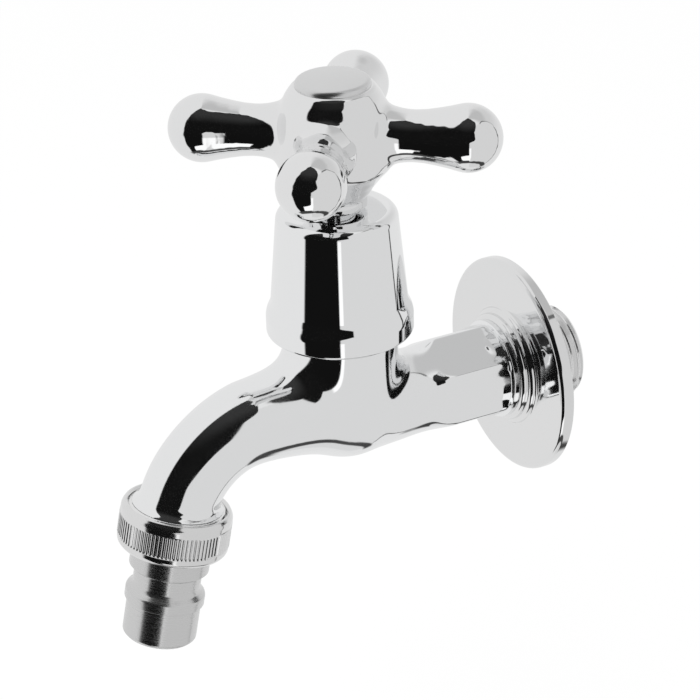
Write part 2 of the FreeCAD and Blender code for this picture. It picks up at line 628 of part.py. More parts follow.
def make_jumper():
    """Disc and stem that carry the valve washer."""
    body = new_body("jumper")
    ring_foot = "dim.jumper_thickness + dim.snap_height"
    neck = "dim.jumper_stem - dim.snap_depth"
    turn(body, "turned", [
        ("0", "0"), ("dim.jumper_radius", "0"), ("dim.jumper_radius", "dim.jumper_thickness - 0.4"),
        ("dim.jumper_radius - 0.4", "dim.jumper_thickness"),
        ("dim.jumper_stem", "dim.jumper_thickness"), ("dim.jumper_stem", ring_foot),
        (neck, ring_foot), (neck, ring_foot + " + dim.snap_thickness"),
        ("dim.jumper_stem", ring_foot + " + dim.snap_thickness"),
        ("dim.jumper_stem", "dim.jumper_thickness + dim.jumper_stem_length"),
        ("0", "dim.jumper_thickness + dim.jumper_stem_length"),
    ])
    bore(body, "screw_hole", [
        ("0", "-1"), ("dim.screw_radius * 0.75", "-1"), ("dim.screw_radius * 0.75", "4.2"),
        ("0", "4.8"),
    ])
    on_valve_axis(body, JUMPER_FOOT)
    return body


def make_jumper_ring():
    """Open snap ring that ties the jumper to the spindle."""
    body = new_body("jumper_ring")
    neck = "dim.jumper_stem - dim.snap_depth"
    turn(body, "ring", [
        (neck, "0"), (neck + " + dim.snap_width", "0"),
        (neck + " + dim.snap_width", "dim.snap_thickness"), (neck, "dim.snap_thickness"),
    ])
    gap = new_sketch(body, "gap_outline", "XY_Plane")
    draw_outline(gap, [("0", "-0.6"), ("dim.jumper_stem * 2", "-0.6"),
                       ("dim.jumper_stem * 2", "0.6"), ("0", "0.6")])
    cut = pocket(body, "gap", gap, "dim.snap_thickness * 2")
    cut.Midplane = True
    cut.setExpression("Length", "dim.snap_thickness * 4")
    on_valve_axis(body, JUMPER_FOOT + " + dim.jumper_thickness + dim.snap_height")
    return body


def make_screw(label, shank, length, head, head_height, seat, points_up):
    """Slotted cheese head screw, its own zero under the head."""
    body = new_body(label)
    turn(body, "turned", [
        ("0", "-" + length), (shank + " - 0.3", "-" + length), (shank, "0.3 - " + length),
        (shank, "0"), (head, "0"), (head, head_height + " - 0.3"), (head + " - 0.3", head_height),
        ("0", head_height),
    ])
    slot = new_sketch(body, "slot_outline", "XZ_Plane")
    draw_outline(slot, [("-0.45", head_height + " - 0.9"), ("0.45", head_height + " - 0.9"),
                        ("0.45", head_height + " + 1"), ("-0.45", head_height + " + 1")])
    cut = pocket(body, "slot", slot, head + " * 4")
    cut.Midplane = True
    if points_up:
        body.Placement = Placement(Vector(0, 0, 0), Rotation(Vector(1, 0, 0), 180))
    on_valve_axis(body, seat)
    return body


def make_spindle():
    """Rising spindle: foot, thread, stem and the square for the handle."""
    body = new_body("spindle")
    turn(body, "turned", [
        ("0", "0"), ("dim.spindle_foot", "0"), ("dim.spindle_foot", THREAD_FOOT),
        ("dim.spindle_thread", THREAD_FOOT + " + 0.5"),
        ("dim.spindle_thread", THREAD_TOP + " - 0.5"),
        ("dim.spindle_thread - 0.5", THREAD_TOP), ("dim.stem_radius", THREAD_TOP),
        ("dim.stem_radius", STEM_TOP), ("0", STEM_TOP),
    ])
    square = new_sketch(body, "square_outline", "XY_Plane")
    half = "dim.square_side / 2"
    draw_outline(square, [(half, "-" + half), (half, half), ("-" + half, half),
                          ("-" + half, "-" + half)])
    square.setExpression("AttachmentOffset.Base.z", STEM_TOP)
    pad(body, "square", square, "dim.square_height")
    bore(body, "jumper_hole", [
        ("0", "-1"), ("dim.jumper_stem + dim.running_gap", "-1"),
        ("dim.jumper_stem + dim.running_gap", "dim.snap_height - 0.3"),
        ("dim.jumper_stem + 0.9", "dim.snap_height - 0.3"),
        ("dim.jumper_stem + 0.9", "dim.snap_height + dim.snap_thickness + 0.3"),
        ("dim.jumper_stem + dim.running_gap", "dim.snap_height + dim.snap_thickness + 0.3"),
        ("dim.jumper_stem + dim.running_gap", "dim.jumper_stem_length + 0.4"),
        ("0", "dim.jumper_stem_length + 1.4"),
    ])
    tip = STEM_TOP + " + dim.square_height"
    bore(body, "screw_hole", [
        ("0", tip + " - 8.6"), ("dim.screw_radius", tip + " - 7.6"),
        ("dim.screw_radius", tip + " + 1"), ("0", tip + " + 1"),
    ])
    with_the_handle(body)
    on_valve_axis(body, SPINDLE_FOOT)
    return body


def make_cross_handle():
    """Cast handle: collar, hub and four ball-ended arms, with a square socket and cap recess."""
    body = new_body("cross_handle")
    hub = turn(body, "hub", [
        ("0", "0"), ("dim.collar_radius - 0.3", "0"), ("dim.collar_radius", "0.3"),
        ("dim.collar_radius", "dim.collar_height"),
        ("dim.collar_radius * 0.4 + dim.hub_radius * 0.6", "dim.hub_foot * 0.74"),
        ("dim.hub_radius", "dim.hub_foot + 2"), ("dim.hub_radius", "dim.hub_shoulder"),
        ("dim.hub_radius * 0.9", "dim.hub_shoulder * 0.5 + dim.hub_top * 0.5"),
        ("dim.hub_radius * 0.79", "dim.hub_shoulder * 0.15 + dim.hub_top * 0.85"),
        ("dim.cap_radius", "dim.hub_top"), ("0", "dim.hub_top"),
    ])
    arm_sketch = new_sketch(body, "arm_outline", "XZ_Plane")
    draw_outline(arm_sketch, [
        ("0", "0"), ("0", "dim.arm_root"), ("dim.hub_radius * 0.9", "dim.arm_root"),
        ("dim.arm_neck_reach", "dim.arm_neck"), ("dim.arm_swell_reach", "dim.arm_swell"),
        ("dim.arm_swell_reach", "0"),
    ])
    arm_sketch.setExpression("AttachmentOffset.Base.y", "dim.arm_height")
    arm = body.newObject("PartDesign::Revolution", "arm")
    arm.Profile = arm_sketch
    arm.ReferenceAxis = (arm_sketch, ["H_Axis"])
    arm.Angle = 360
    arm_sketch.Visibility = False
    ball_sketch = new_sketch(body, "ball_outline", "XZ_Plane")
    draw_half_disc(ball_sketch, "dim.ball_reach", "dim.ball_radius")
    ball_sketch.setExpression("AttachmentOffset.Base.y", "dim.arm_height")
    ball = body.newObject("PartDesign::Revolution", "ball")
    ball.Profile = ball_sketch
    ball.ReferenceAxis = (ball_sketch, ["H_Axis"])
    ball.Angle = 360
    ball_sketch.Visibility = False
    doc.recompute()
    arms = body.newObject("PartDesign::PolarPattern", "arms")
    arms.Originals = [arm, ball]
    arms.Axis = (hub.Profile[0], ["V_Axis"])
    arms.Angle = 360
    arms.Occurrences = 4
    body.Tip = arms
    socket = new_sketch(body, "socket_outline", "XY_Plane")
    half = "dim.square_side / 2"
    draw_outline(socket, [(half, "-" + half), (half, half), ("-" + half, half),
                          ("-" + half, "-" + half)])
    cut = pocket(body, "socket", socket, "dim.collar_bore_depth + dim.square_height")
    cut.Reversed = True
    bore(body, "collar_bore", [
        ("0", "-1"), ("dim.stem_radius", "-1"), ("dim.stem_radius", "dim.collar_bore_depth"),
        ("0", "dim.collar_bore_depth"),
    ])
    bore(body, "recess", [
        ("0", "dim.collar_bore_depth + dim.square_height - 1"),
        ("dim.screw_radius + 0.3", "dim.collar_bore_depth + dim.square_height - 1"),
        ("dim.screw_radius + 0.3", SCREW_SEAT), ("dim.recess_radius", SCREW_SEAT),
        ("dim.recess_radius", "dim.hub_top + 1"), ("0", "dim.hub_top + 1"),
    ])
    with_the_handle(body)
    on_valve_axis(body, HANDLE_FOOT)
    return body


def make_handle_cap():
    """Push-in button over the handle screw, its own zero under the rim."""
    rim = doc.addObject("Part::Cylinder", "cap_rim")
    rim.setExpression("Radius", "dim.cap_radius")
    rim.setExpression("Height", "dim.cap_rim + dim.cap_dome")
    dome = doc.addObject("Part::Sphere", "cap_dome")
    curve = "(dim.cap_radius * dim.cap_radius / dim.cap_dome + dim.cap_dome) / 2"
    dome.setExpression("Radius", curve)
    dome.setExpression("Placement.Base.z", f"dim.cap_rim + dim.cap_dome - {curve}")
    plug = doc.addObject("Part::Cylinder", "cap_plug")
    plug.setExpression("Radius", "dim.recess_radius")
    plug.setExpression("Height", "dim.cap_plug + dim.cap_rim")
    plug.setExpression("Placement.Base.z", "-dim.cap_plug")
    top = doc.addObject("Part::MultiCommon", "cap_top")
    top.Shapes = [rim, dome]
    cap = doc.addObject("Part::MultiFuse", "handle_cap")
    cap.Label = "handle_cap"
    cap.Shapes = [top, plug]
    on_valve_axis(cap, HANDLE_FOOT + " + dim.hub_top")
    return cap


def make_union_nut():
    """Knurled union nut: thread side up, floor that holds the nozzle below."""
    body = new_body("union_nut")
    inside = "dim.thread_radius + dim.thread_gap"
    floor = "dim.nut_height - dim.nut_floor"
    turn(body, "turned", [
        (inside, "0"), ("dim.nut_lip", "0"), ("dim.nut_radius", "dim.band_top * 0.5"),
        ("dim.nut_radius", "dim.band_foot"),
        ("dim.nut_foot", "dim.nut_height"), ("dim.nozzle_stub + dim.stub_gap", "dim.nut_height"),
        ("dim.nozzle_stub + dim.stub_gap", floor), (inside, floor),
    ])
    on_outlet_axis(body)
    return body


def make_nozzle_washer():
    """Flat seal between the spout end and the nozzle flange."""
    body = new_body("nozzle_washer")
    top = "dim.outlet_length"
    foot = "dim.outlet_length + dim.seal_thickness"
    turn(body, "ring", [
        ("dim.outlet_bore + 0.4", top), ("dim.seal_radius", top), ("dim.seal_radius", foot),
        ("dim.outlet_bore + 0.4", foot),
    ])
    on_outlet_axis(body)
    return body


def make_hose_nozzle():
    """Turned nozzle: flange held by the nut, stub, neck, collar and plain hose end."""
    body = new_body("hose_nozzle")
    top = "dim.outlet_length + dim.seal_thickness"
    floor = "dim.nut_height - dim.nut_floor"
    turn(body, "turned", [
        ("dim.outlet_bore", top), ("dim.nozzle_flange", top), ("dim.nozzle_flange", floor),
        ("dim.nozzle_stub", floor), ("dim.nozzle_stub", "dim.stub_end - 0.4"),
        ("dim.nozzle_stub - 0.4", "dim.stub_end"), ("dim.nozzle_neck", "dim.stub_end"),
        ("dim.nozzle_neck", "dim.neck_end"), ("dim.nozzle_collar", "dim.collar_start"),
        ("dim.nozzle_collar", "dim.collar_end"), ("dim.hose_end_radius", "dim.collar_end"),
        ("dim.hose_end_radius", "dim.nozzle_end - dim.end_chamfer"),
        ("dim.hose_end_radius - dim.end_chamfer", "dim.nozzle_end"),
        ("dim.outlet_bore", "dim.nozzle_end"),
    ])
    on_outlet_axis(body)
    return body


def make_parts():
    """Build every sub-part and return them by file name."""
    rings = [
        make_plain_ring("gland_packing", "dim.stem_radius + dim.running_gap",
                        "dim.stuffing_radius", "dim.packing_height", PACKING_SEAT),
        make_plain_ring("gland_follower", "dim.stem_radius + 0.35", "dim.stuffing_radius",
                        "dim.follower_height", FOLLOWER_SEAT),
        make_plain_ring("screw_washer", "dim.screw_radius + 0.1", "dim.screw_head",
                        "dim.spring_thickness", HANDLE_FOOT + " + " + SCREW_SEAT),
    ]
    screws = [
        make_screw("washer_screw", "dim.screw_radius * 0.75", "(dim.washer_thickness + 4)",
                   "dim.screw_head * 0.75", "(dim.screw_head_height * 0.7)", SEAT_FACE, True),
        make_screw("handle_screw", "dim.screw_radius", "dim.screw_length", "dim.screw_head",
                   "dim.screw_head_height",
                   HANDLE_FOOT + " + " + SCREW_SEAT + " + dim.spring_thickness", False),
    ]
    return rings + screws + [
        make_body(), make_valve_seat(), make_wall_flange(), make_bonnet_gasket(), make_bonnet(),
        make_gland_nut(), make_bonnet_shroud(), make_valve_washer(), make_jumper(),
        make_jumper_ring(), make_spindle(), make_cross_handle(), make_handle_cap(),
        make_union_nut(), make_nozzle_washer(), make_hose_nozzle(),
    ]


def check(parts):
    """Stop on any object in error and on any sub-part that is not one valid solid."""
    for item in doc.Objects:
        if "Invalid" in item.State or "Error" in item.State:
            raise RuntimeError(f"{item.Name} did not build: {item.State}")
    for part in parts:
        shape = part.Shape
        if shape.isNull() or not shape.isValid() or len(shape.Solids) != 1:
            raise RuntimeError(f"{part.Label} is not one valid solid")


def cuts_remove_metal(parts):
    """Every groove, pocket and cutting loft takes volume off the feature below it."""
    for part in parts:
        for item in getattr(part, "Group", []):
            if item.TypeId in ("PartDesign::Groove", "PartDesign::Pocket",
                               "PartDesign::SubtractiveLoft"):
                if item.Shape.Volume > item.BaseFeature.Shape.Volume - 0.01:
                    raise RuntimeError(f"{part.Label}: {item.Name} cuts nothing")


make_sheet()
PARTS = make_parts()
doc.recompute()
check(PARTS)
cuts_remove_metal(PARTS)
os.makedirs("parts", exist_ok=True)
for PART in PARTS:
    PART.Shape.exportStep(f"parts/{PART.Label}.step")
    FreeCAD.Console.PrintMessage(f"{PART.Label}: {PART.Shape.Volume:.1f} mm3\n")
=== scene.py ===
"""Finish of a garden tap: cast body, cross handle, wall rosette, union nut and hose nozzle.

The frame brings the solids and the bodies that they ride on. Each sub-assembly is a class: its
sizes are fields in millimetres, and its methods build the meshes and dress them.
"""

import sys
import json
import logging
import math
from collections.abc import Callable
from dataclasses import dataclass, field
from enum import Enum

import bmesh
import bpy
from mathutils import Matrix, Vector


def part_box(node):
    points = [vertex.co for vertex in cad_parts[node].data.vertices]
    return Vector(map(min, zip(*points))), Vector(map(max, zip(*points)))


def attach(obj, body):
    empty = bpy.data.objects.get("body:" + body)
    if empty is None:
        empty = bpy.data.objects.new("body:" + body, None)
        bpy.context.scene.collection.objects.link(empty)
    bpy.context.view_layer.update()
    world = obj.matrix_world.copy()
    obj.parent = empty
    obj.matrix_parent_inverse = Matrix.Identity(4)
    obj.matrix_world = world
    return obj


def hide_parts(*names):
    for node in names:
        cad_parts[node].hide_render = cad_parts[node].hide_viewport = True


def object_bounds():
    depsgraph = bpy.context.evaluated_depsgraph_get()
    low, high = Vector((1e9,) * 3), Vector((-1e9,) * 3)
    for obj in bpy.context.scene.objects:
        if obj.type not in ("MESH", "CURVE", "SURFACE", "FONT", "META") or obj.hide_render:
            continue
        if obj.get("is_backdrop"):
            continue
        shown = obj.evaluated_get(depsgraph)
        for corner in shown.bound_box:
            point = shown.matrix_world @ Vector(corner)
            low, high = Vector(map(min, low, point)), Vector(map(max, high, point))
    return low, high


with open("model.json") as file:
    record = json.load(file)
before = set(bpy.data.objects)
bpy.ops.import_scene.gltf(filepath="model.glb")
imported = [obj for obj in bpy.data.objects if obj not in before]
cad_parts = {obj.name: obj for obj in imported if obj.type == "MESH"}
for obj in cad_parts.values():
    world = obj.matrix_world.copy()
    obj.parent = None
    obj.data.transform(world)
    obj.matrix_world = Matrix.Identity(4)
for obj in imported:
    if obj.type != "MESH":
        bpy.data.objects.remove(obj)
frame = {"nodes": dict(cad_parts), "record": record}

log = logging.getLogger("garden_tap")

MILLIMETRE = 0.001
MERGE_DISTANCE = 0.0005
RING_TOLERANCE = 0.01
HANDLE_TURN = 37.3
Ring = tuple[float, float]
Corner = tuple[float, float, float]
Share = tuple[float, float]
Rise = tuple[float, float]
Span = tuple[float, float, float, float]
Colour = tuple[float, float, float, float]


class Body(str, Enum):
    """The bodies that pieces ride on."""

    TAP = "tap_body"
    HANDLE = "handle_group"
    NOZZLE = "nozzle_group"
    NUT = "nut_group"


class Slot(str, Enum):
    """The material slots of the visible metal."""

    CAST = "chrome_cast"
    SHEET = "chrome_sheet"
    TURNED = "chrome_turned"


# ---------------------------------------------------------------- places


@dataclass(frozen=True)
class Layout:
    """Where the sub-assemblies stand, in millimetres in the frame's own axes."""

    valve: Vector
    shroud_foot: float
    handle_foot: float
    handle_top: float
    outlet: Vector
    outlet_axis: Vector
    thread_end: float
    handle_turn: float

    @classmethod
    def read(cls) -> "Layout":
        """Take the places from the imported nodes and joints.

        Returns:
            The layout of this tap.
        """
        shroud_low, shroud_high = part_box("bonnet_shroud")
        handle_low, handle_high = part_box("cross_handle")
        body_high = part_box("body")[1]
        joints = {joint["name"]: joint for joint in frame["record"]["behaviour"]["joints"]}
        nut = joints["nut_turn"]
        middle = (shroud_low + shroud_high) / 2
        return cls(
            valve=Vector((middle.x, middle.y, 0.0)) / MILLIMETRE,
            shroud_foot=shroud_low.z / MILLIMETRE,
            handle_foot=handle_low.z / MILLIMETRE,
            handle_top=handle_high.z / MILLIMETRE,
            outlet=Vector(nut["pos_m"]) / MILLIMETRE,
            outlet_axis=Vector(nut["axis"]).normalized(),
            thread_end=body_high.y / MILLIMETRE,
            handle_turn=math.radians(HANDLE_TURN),
        )

    def on_valve(self, height: float, turn: float = 0.0) -> Matrix:
        """Place something on the upright valve axis.

        Args:
            height: Height of its own zero.
            turn: Turn about the axis, in radians.

        Returns:
            The placing matrix.
        """
        spot = self.valve + Vector((0, 0, height))
        return Matrix.Translation(spot) @ Matrix.Rotation(turn, 4, "Z")

    def on_outlet(self) -> Matrix:
        """Place something on the outlet axis, its height running down from the outlet centre."""
        return aimed(self.outlet, self.outlet_axis)

    def on_wall(self) -> Matrix:
        """Place something on the inlet axis, its height running forward from the wall plane."""
        return aimed(Vector((self.valve.x, 0, 0)), Vector((0, -1, 0)))


def aimed(origin: Vector, axis: Vector) -> Matrix:
    """Build the matrix that stands a turned piece on an axis.

    Args:
        origin: Where its own zero goes.
        axis: Where its own height points.

    Returns:
        The placing matrix.
    """
    side = Vector((1, 0, 0))
    turned = Matrix((side, axis.cross(side), axis)).transposed().to_4x4()
    return Matrix.Translation(origin) @ turned


# ---------------------------------------------------------------- modelling by hand


def put_down() -> None:
    """Leave edit mode and deselect everything."""
    if bpy.context.object and bpy.context.object.mode != "OBJECT":
        bpy.ops.object.mode_set(mode="OBJECT")
    bpy.ops.object.select_all(action="DESELECT")
    bpy.context.view_layer.objects.active = None


def take_up(piece: bpy.types.Object) -> None:
    """Make one piece the only selected one.

    Args:
        piece: The piece to work on.
    """
    put_down()
    piece.select_set(True)
    bpy.context.view_layer.objects.active = piece


def edit_all(piece: bpy.types.Object) -> None:
    """Open a piece in edit mode with everything selected.

    Args:
        piece: The piece to work on.
    """
    take_up(piece)
    bpy.ops.object.mode_set(mode="EDIT")
    bpy.ops.mesh.select_all(action="SELECT")


def first_form(name: str) -> bpy.types.Object:
    """Take the primitive that was just added and open it, with its place in its mesh.

    Args:
        name: Name of the blank that it becomes.

    Returns:
        The blank, in edit mode and selected all over.
    """
    piece = bpy.context.active_object
    piece.name = name
    bpy.ops.object.transform_apply(location=True, rotation=True, scale=True)
    edit_all(piece)
    return piece


def select_points(piece: bpy.types.Object, wanted: Callable[[Vector], bool]) -> int:
    """Select points of a piece by their place, with the edges and faces between them.

    Args:
        piece: The piece that is in edit mode.
        wanted: Says of a place whether it belongs to the selection.

    Returns:
        How many points are selected.
    """
    mesh = bmesh.from_edit_mesh(piece.data)
    for part in (mesh.faces, mesh.edges, mesh.verts):
        for element in part:
            element.select = False
    chosen = {point for point in mesh.verts if wanted(point.co)}
    for point in chosen:
        point.select = True
    for part in (mesh.edges, mesh.faces):
        for element in part:
            if all(point in chosen for point in element.verts):
                element.select = True
    bmesh.update_edit_mesh(piece.data)
    return len(chosen)


def apply_modifier(piece: bpy.types.Object, kind: str, **settings: object) -> None:
    """Add a modifier and apply it.

    Args:
        piece: The piece to change.
        kind: Blender's name of the modifier.
        settings: What to set on it.
    """
    take_up(piece)
    modifier = piece.modifiers.new(kind.lower(), kind)
    for key, value in settings.items():
        setattr(modifier, key, value)
    bpy.ops.object.modifier_apply(modifier=modifier.name)


def shade(piece: bpy.types.Object, crease: float = 32.0, weighted: bool = True) -> None:
    """Smooth a piece and keep its flat faces flat.

    Args:
        piece: The piece to shade.
        crease: Edges sharper than this many degrees stay crisp.
        weighted: Whether large faces decide the shading of their corners.
    """
    take_up(piece)
    bpy.ops.object.shade_smooth_by_angle(angle=math.radians(crease))
    if weighted:
        apply_modifier(piece, "WEIGHTED_NORMAL", keep_sharp=True, weight=60)


def point_outwards(piece: bpy.types.Object) -> None:
    """Merge doubles and turn all faces outwards.

    Args:
        piece: A closed piece.
    """
    edit_all(piece)
    bpy.ops.mesh.remove_doubles(threshold=MERGE_DISTANCE)
    bpy.ops.mesh.normals_make_consistent(inside=False)
    bpy.ops.object.mode_set(mode="OBJECT")


def join(pieces: list[bpy.types.Object], name: str) -> bpy.types.Object:
    """Join several closed blanks into one object.

    Args:
        pieces: The blanks, the first of which stays.
        name: Name of the result.

    Returns:
        The joined object.
    """
    take_up(pieces[0])
    for piece in pieces:
        piece.select_set(True)
    bpy.ops.object.join()
    pieces[0].name = name
    return pieces[0]


def fuse_as_cast(piece: bpy.types.Object, grain: float, rounds: int) -> None:
    """Melt overlapping blanks into one skin, as a casting comes out of its mould.

    Args:
        piece: The joined blanks.
        grain: Size of the skin's faces.
        rounds: Rounds of smoothing over the whole skin.
    """
    take_up(piece)
    piece.data.remesh_voxel_size = grain
    piece.data.remesh_voxel_adaptivity = 0.0
    bpy.ops.object.voxel_remesh()
    apply_modifier(piece, "SMOOTH", factor=0.5, iterations=rounds)


def polish_zone(piece: bpy.types.Object, weight: Callable[[Vector], float], rounds: int) -> None:
    """Smooth one zone of a skin much more than the rest, which leaves a fillet there.

    Args:
        piece: The skin.
        weight: Says of a place how strongly it is smoothed, from 0 to 1.
        rounds: Rounds of smoothing.
    """
    zone = piece.vertex_groups.new(name="zone")
    for point in piece.data.vertices:
        share = weight(point.co)
        if share > 0.01:
            zone.add([point.index], min(1.0, share), "REPLACE")
    apply_modifier(piece, "SMOOTH", factor=0.5, iterations=rounds, vertex_group=zone.name)
    piece.vertex_groups.clear()


def face_off(piece: bpy.types.Object, at: Vector, outwards: Vector, bore: Ring,
             radius: float) -> None:
    """Cut a casting square, then sink a bore into the cut face.

    Args:
        piece: The casting.
        at: A point of the cut.
        outwards: The way the cut face looks.
        bore: Radius and depth of the bore.
        radius: Radius of the cut face.
    """
    bore_radius, depth = bore
    edit_all(piece)
    bpy.ops.mesh.bisect(plane_co=at, plane_no=outwards, use_fill=True, clear_outer=True)
    bpy.ops.mesh.select_mode(type="FACE")
    mesh = bmesh.from_edit_mesh(piece.data)
    for face in mesh.faces:
        face.select = False
    largest = max(mesh.faces, key=lambda face: len(face.verts))
    largest.select = True
    bmesh.update_edit_mesh(piece.data)
    bpy.ops.mesh.extrude_region_move(TRANSFORM_OT_translate={"value": (0, 0, 0)})
    scale = bore_radius / radius
    bpy.ops.transform.resize(value=(scale, scale, scale), center_override=at)
    bpy.ops.mesh.extrude_region_move(TRANSFORM_OT_translate={"value": tuple(outwards * -depth)})
    bpy.ops.mesh.select_mode(type="VERT")
    bpy.ops.object.mode_set(mode="OBJECT")


def place(piece: bpy.types.Object, where: Matrix) -> None:
    """Move a piece's mesh to its place, still in millimetres.

    Args:
        piece: The piece.
        where: The placing matrix.
    """
    piece.data.transform(where)
    piece.data.update()


def hand_over(piece: bpy.types.Object, finish: bpy.types.Material, body: Body, slot: Slot,
              *nodes: str) -> None:
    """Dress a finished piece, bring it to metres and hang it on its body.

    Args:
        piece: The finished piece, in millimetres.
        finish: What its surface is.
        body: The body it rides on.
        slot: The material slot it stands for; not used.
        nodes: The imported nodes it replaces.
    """
    put_down()
    piece.data.materials.clear()
    piece.data.materials.append(finish)
    piece.data.transform(Matrix.Scale(MILLIMETRE, 4))
    piece.data.update()
    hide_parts(*nodes)
    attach(piece, body.value)
    low = [min(point.co[axis] for point in piece.data.vertices) for axis in range(3)]
    high = [max(point.co[axis] for point in piece.data.vertices) for axis in range(3)]
    size = " x ".join(f"{(b - a) / MILLIMETRE:.1f}" for a, b in zip(low, high))
    faces = len(piece.data.polygons)
    log.info("%s: %s mm, %d faces, rides on %s", piece.name, size, faces, body.value)


class Lathe:
    """A turned blank: rings drawn out one after another along its own axis."""

    def __init__(self, name: str, segments: int, first: Ring) -> None:
        """Lay down the first ring and stay in edit mode.

        Args:
            name: Name of the blank.
            segments: Points on each ring.
            first: Radius and height of the first ring.
        """
        put_down()
        self.radius, self.height = first
        bpy.ops.mesh.primitive_circle_add(vertices=segments, radius=self.radius,
                                          fill_type="NOTHING")
        self.piece = first_form(name)
        bpy.ops.transform.translate(value=(0, 0, self.height))

    def draw(self, *rings: Ring) -> "Lathe":
        """Draw the blank out through more rings; a radius of 0 closes it.

        Args:
            rings: Radius and height of each further ring.

        Returns:
            The lathe itself.
        """
        for radius, height in rings:
            bpy.ops.mesh.extrude_region_move(
                TRANSFORM_OT_translate={"value": (0, 0, height - self.height)}
            )
            if radius > 0:
                scale = radius / self.radius
                bpy.ops.transform.resize(value=(scale, scale, 1), center_override=(0, 0, 0))
            else:
                bpy.ops.mesh.merge(type="CENTER")
            self.radius, self.height = radius, height
        return self

    def close(self) -> "Lathe":
        """Merge the last ring into the first, where they meet."""
        bpy.ops.mesh.select_all(action="SELECT")
        bpy.ops.mesh.remove_doubles(threshold=MERGE_DISTANCE)
        return self

    def cap_ends(self) -> "Lathe":
        """Close every open ring with a face.

        Returns:
            The lathe itself.
        """
        bpy.ops.mesh.select_all(action="DESELECT")
        bpy.ops.mesh.select_non_manifold(extend=False, use_boundary=True, use_wire=False,
                                         use_multi_face=False, use_non_contiguous=False,
                                         use_verts=False)
        bpy.ops.mesh.edge_face_add()
        return self

    def soften(self, *corners: Corner, steps: int = 4) -> "Lathe":
        """Round some of the rings.

        Args:
            corners: Radius and height of each ring, and the width of its bevel.
            steps: Faces across each rounding.

        Returns:
            The lathe itself.
        """
        for radius, height, width in corners:

            def on_ring(co: Vector) -> bool:
                """Tell whether a point lies on the ring that is rounded."""
                level = abs(co.z - height) < RING_TOLERANCE
                return level and abs(math.hypot(co.x, co.y) - radius) < RING_TOLERANCE

            bpy.ops.mesh.select_mode(type="VERT")
            found = select_points(self.piece, on_ring)
            if not found:
                log.warning("%s: no ring at %.2f, %.2f", self.piece.name, radius, height)
                continue
            bpy.ops.mesh.bevel(
                offset=width, offset_type="OFFSET", segments=steps, profile=0.5, affect="EDGES"
            )
        return self

    def done(self) -> bpy.types.Object:
        """Leave edit mode with all faces turned outwards.

        Returns:
            The blank.
        """
        point_outwards(self.piece)
        return self.piece


def drawn_wire(name: str, points: list[Ring]) -> bpy.types.Object:
    """Draw a line in the plane of the axis, point by point.

    Args:
        name: Name of the object.
        points: Radius and height of each point.

    Returns:
        The line.
    """
    put_down()
    bpy.ops.mesh.primitive_plane_add(size=1.0)
    wire = first_form(name)
    bpy.ops.mesh.merge(type="CENTER")
    bpy.ops.transform.translate(value=(points[0][0], 0, points[0][1]))
    for (radius, height), (next_radius, next_height) in zip(points, points[1:]):
        step = (next_radius - radius, 0, next_height - height)
        bpy.ops.mesh.extrude_vertices_move(TRANSFORM_OT_translate={"value": step})
    bpy.ops.object.mode_set(mode="OBJECT")
    return wire


@dataclass(frozen=True)
class PipeThread:
    """The half-inch pipe thread of the inlet and the outlet."""

    crest: float = 10.4775
    pitch: float = 1.814
    depth: float = 1.1
    segments: int = 72
    root_round: float = 0.08
    crest_round: float = 0.16
    stand_out: float = 0.02
    overrun: float = 0.3
    flank: tuple[float, float, float] = (0.10, 0.38, 0.45)

    def outline(self) -> list[Ring]:
        """Draw one pitch of the thread, of which the second half mirrors the first.

        Returns:
            Radius and height of each point.
        """
        root, crest = self.crest - self.depth, self.crest
        radii = (root + self.root_round, crest - self.crest_round, crest + self.stand_out)
        rising = [(root, 0.0)]
        rising += [(radius, share * self.pitch) for radius, share in zip(radii, self.flank)]
        return rising + [(radius, self.pitch - height) for radius, height in reversed(rising)]

    def cut(self, blank: bpy.types.Object, low: float, high: float) -> bpy.types.Object:
        """Cut the thread into a ring-shaped blank.

        Args:
            blank: The blank, whose outside is at the crests.
            low: Height where the blank starts.
            high: Height where the blank ends.

        Returns:
            The threaded piece.
        """
        helix = drawn_wire("thread_helix", self.outline())
        turns = math.ceil((high - low) / self.pitch) + 3
        apply_modifier(helix, "SCREW", axis="Z", angle=math.tau, screw_offset=self.pitch,
                       iterations=turns, steps=self.segments, render_steps=self.segments,
                       use_merge_vertices=True, merge_threshold=MERGE_DISTANCE)
        place(helix, Matrix.Translation((0, 0, low - 1.5 * self.pitch)))
        for height, up in ((low - self.overrun, -1), (high + self.overrun, 1)):
            edit_all(helix)
            bpy.ops.mesh.bisect(plane_co=(0, 0, height), plane_no=(0, 0, up), use_fill=True,
                                clear_outer=True)
            bpy.ops.object.mode_set(mode="OBJECT")
        point_outwards(helix)
        apply_modifier(blank, "BOOLEAN", operation="INTERSECT", object=helix, solver="EXACT")
        bpy.data.objects.remove(helix)
        return blank


# ---------------------------------------------------------------- node graphs

Input = float | bpy.types.NodeSocket


